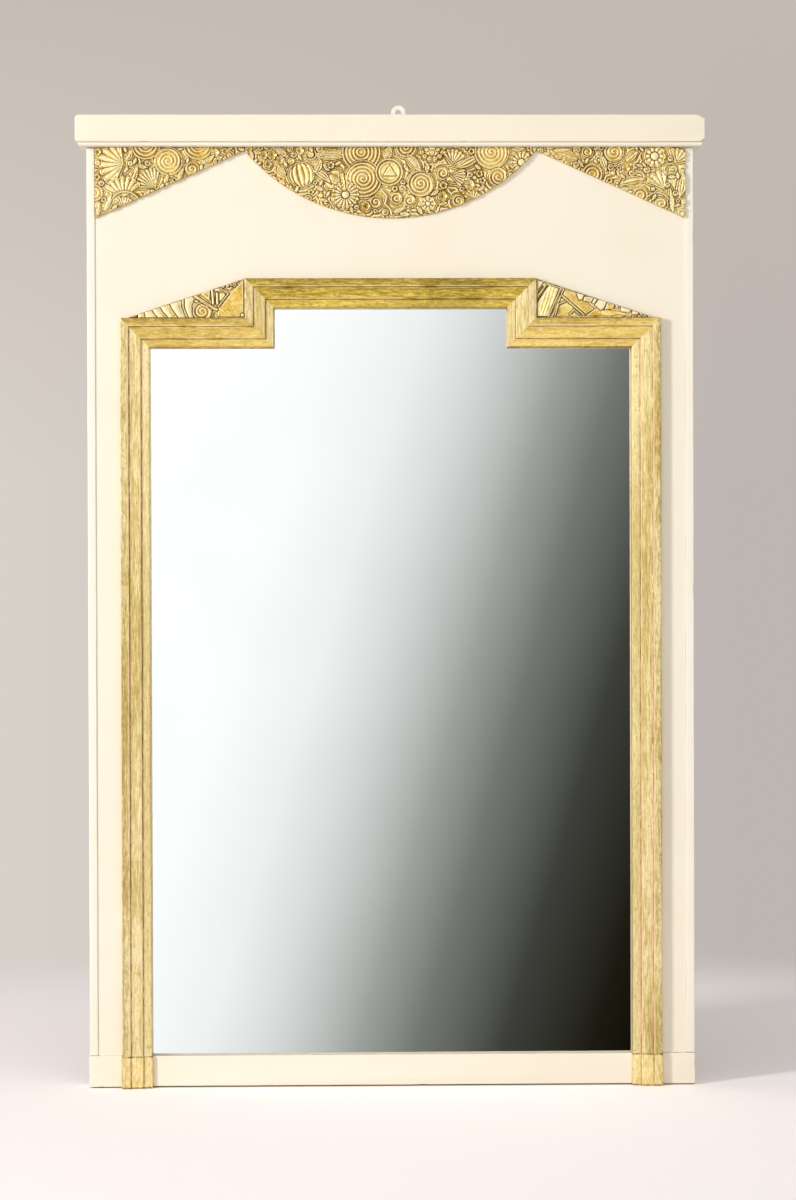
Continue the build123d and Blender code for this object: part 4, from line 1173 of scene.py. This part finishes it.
# Right shoulder: slots and a combed slab by the riser, crossed straps, ribbon blocks along the slope
rightSpandrelMotifs = [
    {"kind": facet, "corners": [(241, 1331), (241, 1312), (252, 1326)], "level": 0.75, "baredAndLit": 0.5},
    {"kind": facet, "corners": [(252, 1325), (241, 1306), (241, 1298), (257, 1322)],
     "level": 0.85, "baredAndLit": 0.7},
    {"kind": facet, "corners": [(250, 1321), (242, 1310), (242, 1306), (253, 1319)],
     "level": 0.05, "dulled": 0.7},
    {"kind": facet, "corners": [(260, 1322), (241, 1292), (241, 1270), (262, 1270), (277, 1316)],
     "level": 0.9, "combed": 0.16, "strokes": -18, "baredAndLit": 0.6},
    {"kind": facet, "corners": [(258, 1322), (241, 1298), (241, 1294), (261, 1321)],
     "level": 0.05, "dulled": 0.7},
    {"kind": facet, "corners": [(272, 1270), (315, 1271), (284, 1303), (279, 1299)],
     "level": 0.4, "dulled": 0.22},
    {"kind": facet, "corners": [(285, 1314), (284, 1303), (319, 1273), (335, 1282), (311, 1309)],
     "level": 0.55, "dulled": 0.42},
    {"kind": facet, "corners": [(322, 1271), (392, 1271), (386, 1277), (340, 1284), (334, 1281)],
     "level": 0.5, "dulled": 0.42},
    {"kind": scrollStem, "line": [(280, 1316), (260, 1270)], "wide": 2.4, "baredAndLit": 0.5},
    {"kind": scrollStem, "line": [(285, 1315), (266, 1270)], "wide": 2.4, "baredAndLit": 0.5},
    {"kind": scrollStem, "line": [(271, 1273), (276, 1290), (288, 1295)], "wide": 2.8},
    {"kind": scrollStem, "line": [(283, 1304), (318, 1273)], "wide": 3.4, "baredAndLit": 0.5},
    {"kind": scrollStem, "line": [(295, 1274), (302, 1281), (311, 1274)], "wide": 2.6},
    {"kind": facet, "corners": [(306, 1309), (310, 1297), (316, 1298), (319, 1306)],
     "level": 0.92, "baredAndLit": 0.8},
    {"kind": facet, "corners": [(319, 1303), (317, 1296), (330, 1293), (335, 1301)],
     "level": 0.76, "baredAndLit": 0.2},
    {"kind": facet, "corners": [(335, 1300), (331, 1292), (336, 1291), (341, 1298)],
     "level": 0.8, "baredAndLit": 0.5},
    {"kind": facet, "corners": [(343, 1298), (336, 1289), (346, 1280), (351, 1283), (357, 1294)],
     "level": 0.92, "baredAndLit": 0.8},
    {"kind": facet, "corners": [(357, 1294), (352, 1281), (367, 1283), (369, 1290)],
     "level": 0.72, "dulled": 0.1},
    {"kind": bead, "at": (373, 1287), "r": 3.2, "baredAndLit": 0.6},
    {"kind": facet, "corners": [(379, 1287), (380, 1278), (393, 1276), (397, 1282)],
     "level": 0.92, "baredAndLit": 0.8},
    {"kind": facet, "corners": [(399, 1280), (397, 1274), (406, 1272), (410, 1278)], "level": 0.72},
    {"kind": bead, "at": (413, 1275), "r": 2.8, "baredAndLit": 0.7},
    {"kind": bead, "at": (419, 1273), "r": 2.4, "baredAndLit": 0.7},
    {"kind": longLeaf, "at": (376, 1270), "long": 22, "wide": 5, "turn": 3, "stripes": 3},
]


def spandrels():
    low, high = cadSize("spandrel_right")

    def floorLine(x):
        return low[2]

    def slopeLine(x):
        share = (abs(x) - low[0]) / (high[0] - low[0])
        return low[2] + max(0.5, (high[2] - low[2]) * (1 - share))

    few = {"count": 260, "sizes": (2.6, 4.2), "line": 1.1}   # line is the dirt along the wedge's edge
    carvedPanel("spandrel_left", floorLine, slopeLine, leftSpandrelMotifs, few, 21)
    carvedPanel("spandrel_right", floorLine, slopeLine, rightSpandrelMotifs, few, 22)


spandrels()
print("spandrels ready")


# Painted boards with hand eased edges. A corner cut is mm along and up, a round corner one number, a nick
# its place, reach and depth; ease is the edge's rounding, gap the space between the outline's points,
# stray the hand's error and lift the clearance over the floor, all in mm
boards = {
    "cornice_board": {
        "corners": {"topLeft": 7.0, "bottomLeft": 6.0, "topRight": (13, 6.5), "bottomRight": (8, 5.5)},
        "ease": 1.8, "gap": 9, "stray": 0.45, "paint": corniceEnamel,
        "nicks": [
            (-258, 1600, 2.6, 1.1), (381, 1600, 3.0, 1.3), (120, 1555, 2.5, 0.8), (-402, 1555, 3.5, 0.7)],
        "plate": "hanging_plate",
        "plateGap": 0.3,     # mm of room round the plate
        "slit": 0.05,        # mm that the pocket's sides lean, so that no two points fall together
        "between": (-6.0, 16.0),     # mm, the sections between the front edge and the pocket
    },
    "foot_block_left": {
        "corners": {"topLeft": 2.0, "bottomLeft": 2.4, "topRight": 0.8, "bottomRight": 0.8},
        "ease": 1.6, "gap": 5, "stray": 0.3, "paint": levelEnamel, "lift": 1.0,
        "nicks": [(-501, 20, 4, 1.0), (-480, 0, 5, 0.9)],
    },
    "foot_block_right": {
        "corners": {"topLeft": 0.8, "bottomLeft": 0.8, "topRight": 2.6, "bottomRight": 2.6},
        "ease": 1.8, "gap": 5, "stray": 0.35, "paint": levelEnamel, "lift": 1.0,
        "nicks": [(501, 34, 5, 1.4), (470, 53, 4, 0.9)],
    },
    "base_rail": {
        "corners": {"topLeft": 0.6, "bottomLeft": 0.6, "topRight": 0.6, "bottomRight": 0.6},
        "ease": 1.4, "gap": 14, "stray": 0.35, "paint": levelEnamel, "lift": 2.0,
        "fall": 8.0,         # mm that the rail's top drops towards the glass
        "nicks": [(-352, 53, 5, 1.2), (48, 0, 6, 1.0), (286, 53, 3, 0.8)],
    },
    "side_board_left": {
        "corners": {"topLeft": 0.6, "bottomLeft": 0.6, "topRight": 0.6, "bottomRight": 0.6},
        "ease": 1.5, "gap": 20, "stray": 0.35, "paint": litEdgeEnamel,
        "nicks": [(-500, 610, 6, 0.8), (-500, 1190, 5, 0.9), (-500, 240, 7, 0.7)],
    },
    "side_board_right": {
        "corners": {"topLeft": 0.6, "bottomLeft": 0.6, "topRight": 0.6, "bottomRight": 0.6},
        "ease": 0.9, "gap": 20, "stray": 0.4, "paint": litEdgeEnamel,
        "nicks": [(500, 820, 7, 0.9), (500, 330, 5, 0.8), (500, 1405, 6, 0.9)],
    },
}


# the front outline, anticlockwise from the top left, with points close enough to stray by hand;
# a board that holds the hanging plate gets two slits in its top edge, which the pocket starts from
def boardOutline(low, high, board, plate):
    cornerSpots = [
        ("topLeft", (low[0], high[2]), (0, -1), (1, 0)),
        ("bottomLeft", (low[0], low[2]), (1, 0), (0, 1)),
        ("bottomRight", (high[0], low[2]), (0, 1), (-1, 0)),
        ("topRight", (high[0], high[2]), (-1, 0), (0, -1)),
    ]
    outline = []
    for name, spot, leaving, arriving in cornerSpots:
        ease = board["corners"][name]
        spot = np.array(spot)
        if isinstance(ease, tuple):
            reach = np.array(ease)
            outline.append(spot + np.array(arriving) * reach)
            outline.append(spot + np.array(leaving) * reach)
        else:
            ease = max(ease, board["ease"] + 0.2)
            centre = spot + (np.array(leaving) + np.array(arriving)) * ease
            for angle in np.linspace(0, math.pi / 2, 6):
                outline.append(centre - ease * (
                    math.cos(angle) * np.array(leaving) + math.sin(angle) * np.array(arriving)))
    spaced = []
    for a, b in zip(outline, outline[1:] + outline[:1]):
        count = max(1, int(np.linalg.norm(b - a) / board["gap"]))
        for step in range(count):
            spaced.append(a + (b - a) * step / count)
    if plate is None:
        return np.array(spaced), np.zeros(len(spaced), bool)
    left = plate[0][0] - board["plateGap"]
    right = plate[1][0] + board["plateGap"]
    spaced = [p for p in spaced if not (p[1] > high[2] - 1 and left - 2 < p[0] < right + 2)]
    tops = [i for i in range(1, len(spaced)) if spaced[i][1] > high[2] - 1 and spaced[i - 1][0] > right]
    at = next(i for i in tops if spaced[i][0] < left)
    notch = [right, right - board["slit"], left + board["slit"], left]
    spaced[at:at] = [np.array((x, high[2])) for x in notch]
    sunk = np.zeros(len(spaced), bool)
    sunk[at + 1:at + 3] = True       # the two points inside the slits go down into the pocket
    return np.array(spaced), sunk


# rings from the rounded front edge to the back; strays and nicks run the whole way through
def easedBoard(node, board, seed):
    low, high = cadSize(node)
    fall = board.get("fall", 0.0) / (high[1] - low[1])
    low[2] += board.get("lift", 0.0)
    plate = cadSize(board["plate"]) if "plate" in board else None
    outline, sunk = boardOutline(low, high, board, plate)
    before = np.roll(outline, 1, axis=0)
    after = np.roll(outline, -1, axis=0)
    along = after - before
    inward = np.column_stack([-along[:, 1], along[:, 0]])
    inward /= np.linalg.norm(inward, axis=1)[:, None] + 1e-9
    stray = board["stray"] * (0.5 + 0.5 * softNoise(outline[:, 0], outline[:, 1], 46, seed))
    for x, z, reach, deep in board["nicks"]:
        near = np.hypot(outline[:, 0] - x, outline[:, 1] - z)
        stray = stray + deep * np.clip(1 - near / reach, 0, 1)
    stray[sunk | np.roll(sunk, 1) | np.roll(sunk, -1)] = 0.0
    ease = board["ease"]
    quarter = np.linspace(0, math.pi / 2, 6)
    fronts = [(ease * (1 - math.sin(angle)), ease * (1 - math.cos(angle))) for angle in quarter]
    rings = []
    for inset, deep in fronts:
        spots = outline + inward * (stray + inset)[:, None]
        rings.append(np.column_stack([spots[:, 0], np.full(len(spots), low[1] + deep), spots[:, 1]]))
    settled = outline + inward * stray[:, None]
    if plate is None:
        for y in np.linspace(low[1] + ease, high[1], 5)[1:]:
            rings.append(np.column_stack([settled[:, 0], np.full(len(settled), y), settled[:, 1]]))
    else:
        pocketY = plate[0][1]
        pocket = settled.copy()
        pocket[sunk, 1] = plate[0][2] - board["plateGap"]
        for y in (*board["between"], pocketY):
            rings.append(np.column_stack([settled[:, 0], np.full(len(settled), y), settled[:, 1]]))
        for y in (pocketY, high[1]):
            rings.append(np.column_stack([pocket[:, 0], np.full(len(pocket), y), pocket[:, 1]]))
    points = np.concatenate(rings)
    points[:, 2] -= fall * (points[:, 1] - low[1]) * (points[:, 2] > high[2] - 2)
    piece = makeMesh(node + "_painted", points, skin(rings), None, 50)
    dress(piece, node, board["paint"])


for number, (node, board) in enumerate(boards.items()):
    easedBoard(node, board, 80 + number)
print("painted boards ready")


# the flat, hidden and small pieces keep their solids and take a finish
finishes = [
    (levelEnamel, ["frieze_board", "shoulder_board_left", "shoulder_board_right"]),
    (litEdgeEnamel, ["cornice_underlay"]),
    (uprightEnamel, ["face_stile_left", "face_stile_right"]),
    (silvered, ["mirror_glass"]),
    (levelWood, [
        "glazing_batten_top", "glazing_batten_bottom", "top_rail", "cross_rail", "bottom_rail",
        "corner_blocks"]),
    (uprightWood, [
        "glazing_batten_left", "glazing_batten_right", "back_board_left", "back_board_centre",
        "back_board_right"]),
    (kraft, ["backing_paper"]),
    (steel, ["batten_screws", "back_nails"]),
    (iron, ["hanging_plate", "hanging_plate_screws"]),
]
for material, names in finishes:
    for name in names:
        nodes[name].data.materials.clear()
        nodes[name].data.materials.append(material)
print("carried over solids finished")


# Pale studio floor, which melts into the backdrop some way behind the mirror
studio = {
    "floorTone": "#F4EEEE",
    "floorLevel": -0.0004,     # metres, just under the mirror's foot
    "floorRings": 7,
    "floorSides": 96,
    "floorLift": 1.43,         # times its tone, as the eye and gloss see the floor
    "floorGive": 0.9,          # and as it lights the mirror
    "floorReach": 2.7,         # metres
    "fadeFrom": 1.35,
    "fadeTo": 2.5,
    "fadeCentre": (0.0, -0.5),
    "wallTop": "#C4BAB1",
    "wallLeft": "#DAD3CC",
    "wallRight": "#BEB6B2",
    "wallSpread": 0.13,        # how far to each side the wall's tone changes, as a direction
    "wallRise": (0.03, 0.2),   # and how far up
    "frontLight": "#BFBEBC",
    "backLight": "#A09E9C",
    "lightTurn": (0.5, -0.3),  # from the back's tone to the front's, as a direction
    "lampAim": (0, 0, 0.8),
}


def studioFloor():
    centre = studio["fadeCentre"]
    level = studio["floorLevel"]
    ringCount = studio["floorRings"]
    sides = studio["floorSides"]
    points = [(centre[0], centre[1], level)]
    faces = []
    for ring in range(1, ringCount + 1):
        reach = studio["floorReach"] * ring / ringCount
        for k in range(sides):
            angle = 2 * math.pi * k / sides
            points.append((centre[0] + reach * math.cos(angle), centre[1] + reach * math.sin(angle), level))
    for k in range(sides):
        faces.append((0, 1 + k, 1 + (k + 1) % sides))
    for ring in range(1, ringCount):
        a = 1 + (ring - 1) * sides
        b = a + sides
        for k in range(sides):
            n = (k + 1) % sides
            faces.append((a + k, b + k, b + n, a + n))
    mesh = bpy.data.meshes.new("studioFloor")
    mesh.from_pydata(points, [], faces)
    floor = addObject("studioFloor", mesh)
    material, tree, place = newMaterial("paintedStudioFloor")
    path = addNode(tree, "ShaderNodeLightPath")
    seen = addNode(tree, "ShaderNodeMath", {
        0: path.outputs["Is Camera Ray"], 1: path.outputs["Is Glossy Ray"]}, operation="MAXIMUM")
    lift = addNode(tree, "ShaderNodeMapRange", {
        "Value": seen.outputs["Value"], "To Min": studio["floorGive"], "To Max": studio["floorLift"]})
    bright = addNode(tree, "ShaderNodeVectorMath", {
        0: toLinear(studio["floorTone"])[:3], "Scale": lift.outputs["Result"]}, operation="SCALE")
    matt = addNode(tree, "ShaderNodeBsdfDiffuse", {"Color": bright.outputs["Vector"]})
    offset = addNode(tree, "ShaderNodeVectorMath", {
        0: place, 1: (centre[0], centre[1], 0.0)}, operation="SUBTRACT")
    reach = addNode(tree, "ShaderNodeVectorMath", {0: offset.outputs["Vector"]}, operation="LENGTH")
    fade = addNode(tree, "ShaderNodeMapRange", {
        "Value": reach.outputs["Value"], "From Min": studio["fadeFrom"], "From Max": studio["fadeTo"],
        "To Min": 0.0, "To Max": 1.0}, interpolation_type="SMOOTHERSTEP")
    clear = addNode(tree, "ShaderNodeBsdfTransparent")
    blend = addNode(tree, "ShaderNodeMixShader", {
        0: fade.outputs["Result"], 1: matt.outputs["BSDF"], 2: clear.outputs["BSDF"]})
    addNode(tree, "ShaderNodeOutputMaterial", {"Surface": blend.outputs["Shader"]})
    mesh.materials.append(material)


# A soft white to black sweep for the plate to reflect; only mirror rays see it
sweep = {
    "away": 0.25,              # metres in front of the frame's origin
    "halfWide": 2.6,
    "low": -0.5,
    "high": 2.6,
    "lean": 0.3,               # how far the sweep drifts to the right for each metre up
    "leanFrom": 0.8,           # metres up, where it is in place
    "start": -0.44,
    "length": 1.1,
    "strength": 1.08,
    "tones": [
        (0.0, "#FFFFFF"), (0.18, "#FAFBFC"), (0.32, "#ECEEEE"), (0.41, "#D8DADA"), (0.49, "#BDC0BE"),
        (0.56, "#9B9F9B"), (0.655, "#727570"), (0.79, "#3D3E39"), (0.93, "#1D1A12"), (1.0, "#120F08")],
}


def reflectionSweep():
    w = sweep["halfWide"]
    y = -sweep["away"]
    mesh = bpy.data.meshes.new("reflectionSweep")
    corners = [(-w, y, sweep["low"]), (w, y, sweep["low"]), (w, y, sweep["high"]), (-w, y, sweep["high"])]
    mesh.from_pydata(corners, [], [(0, 1, 2, 3)])
    card = addObject("reflectionSweep", mesh)
    card.visible_camera = False
    card.visible_diffuse = False
    card.visible_shadow = False
    card.visible_transmission = False
    material, tree, place = newMaterial("reflectionSweep")
    axes = addNode(tree, "ShaderNodeSeparateXYZ", {"Vector": place})
    drift = addNode(tree, "ShaderNodeMath", {
        0: axes.outputs["Z"], 1: -sweep["lean"], 2: sweep["lean"] * sweep["leanFrom"]},
        operation="MULTIPLY_ADD")
    along = addNode(tree, "ShaderNodeMath", {
        0: axes.outputs["X"], 1: drift.outputs["Value"]}, operation="ADD")
    share = addNode(tree, "ShaderNodeMapRange", {
        "Value": along.outputs["Value"], "From Min": sweep["start"],
        "From Max": sweep["start"] + sweep["length"]})
    tone = addNode(tree, "ShaderNodeValToRGB", {"Fac": share.outputs["Result"]}, stops=sweep["tones"])
    glow = addNode(tree, "ShaderNodeEmission", {
        "Color": tone.outputs["Color"], "Strength": sweep["strength"]})
    clear = addNode(tree, "ShaderNodeBsdfTransparent")
    path = addNode(tree, "ShaderNodeLightPath")
    blend = addNode(tree, "ShaderNodeMixShader", {
        0: path.outputs["Is Singular Ray"], 1: clear.outputs["BSDF"], 2: glow.outputs["Emission"]})
    addNode(tree, "ShaderNodeOutputMaterial", {"Surface": blend.outputs["Shader"]})
    mesh.materials.append(material)


# The wall is a soft gradient that only the eye and gloss see; the even light has its own tones
def studioWorld():
    world = bpy.data.worlds.new("studioWorld")
    bpy.context.scene.world = world
    world.use_nodes = True
    tree = world.node_tree
    tree.nodes.clear()
    place = addNode(tree, "ShaderNodeTexCoord")
    axes = addNode(tree, "ShaderNodeSeparateXYZ", {"Vector": place.outputs["Generated"]})
    sideways = addNode(tree, "ShaderNodeMapRange", {
        "Value": axes.outputs["X"], "From Min": -studio["wallSpread"], "From Max": studio["wallSpread"]})
    upward = addNode(tree, "ShaderNodeMapRange", {
        "Value": axes.outputs["Z"], "From Min": studio["wallRise"][0], "From Max": studio["wallRise"][1]})
    lowWall = addNode(tree, "ShaderNodeMix", {
        0: sideways.outputs["Result"], 6: studio["wallLeft"], 7: studio["wallRight"]}, data_type="RGBA")
    wall = addNode(tree, "ShaderNodeMix", {
        0: upward.outputs["Result"], 6: lowWall.outputs[2], 7: studio["wallTop"]}, data_type="RGBA")
    frontward = addNode(tree, "ShaderNodeMapRange", {
        "Value": axes.outputs["Y"], "From Min": studio["lightTurn"][0], "From Max": studio["lightTurn"][1]})
    lighting = addNode(tree, "ShaderNodeMix", {
        0: frontward.outputs["Result"], 6: studio["backLight"], 7: studio["frontLight"]}, data_type="RGBA")
    path = addNode(tree, "ShaderNodeLightPath")
    seen = addNode(tree, "ShaderNodeMath", {
        0: path.outputs["Is Camera Ray"], 1: path.outputs["Is Glossy Ray"]}, operation="MAXIMUM")
    tone = addNode(tree, "ShaderNodeMix", {
        0: seen.outputs["Value"], 6: lighting.outputs[2], 7: wall.outputs[2]}, data_type="RGBA")
    background = addNode(tree, "ShaderNodeBackground", {"Color": tone.outputs[2], "Strength": 1.0})
    addNode(tree, "ShaderNodeOutputWorld", {"Surface": background.outputs["Background"]})


# Tall softbox on the left and a wide soft fill behind the camera
lamps = {
    "tallSoftbox": {"at": (-5.6, -4.1, 2.5), "size": (1.0, 2.0), "watts": 300, "colour": "#FFFDFA"},
    "wideFill": {"at": (0.6, -5.6, 1.4), "size": (4.8, 3.2), "watts": 50, "colour": "#FFFDFA"},
}


def studioLamps():
    for name, lamp in lamps.items():
        light = bpy.data.lights.new(name, "AREA")
        light.shape = "RECTANGLE"
        light.size, light.size_y = lamp["size"]
        light.energy = lamp["watts"]
        light.color = toLinear(lamp["colour"])[:3]
        holder = addObject(name, light)
        holder.location = lamp["at"]
        holder.visible_camera = False
        aim = Vector(studio["lampAim"]) - holder.location
        holder.rotation_euler = aim.to_track_quat("-Z", "Y").to_euler()


studioFloor()
reflectionSweep()
studioWorld()
studioLamps()
print("studio ready")


# long lens a little left of the middle, looking almost level
view = {
    "at": (-0.0905, -5.0, 0.859),
    "turnRight": 1.16,         # degrees
    "tiltUp": -0.637,
    "roll": -0.166,
    "lens": 90.75,             # mm on a 36 mm wide sensor
}


def studioCamera():
    data = bpy.data.cameras.new("studioCamera")
    data.lens = view["lens"]
    data.sensor_width = 36
    camera = addObject("studioCamera", data)
    facing = Euler((math.radians(90 + view["tiltUp"]), 0, -math.radians(view["turnRight"]))).to_matrix()
    rolled = facing @ Matrix.Rotation(math.radians(view["roll"]), 3, "Z")
    camera.matrix_world = Matrix.Translation(view["at"]) @ rolled.to_4x4()
    bpy.context.scene.camera = camera


studioCamera()
bpy.context.scene.view_settings.view_transform = "Standard"
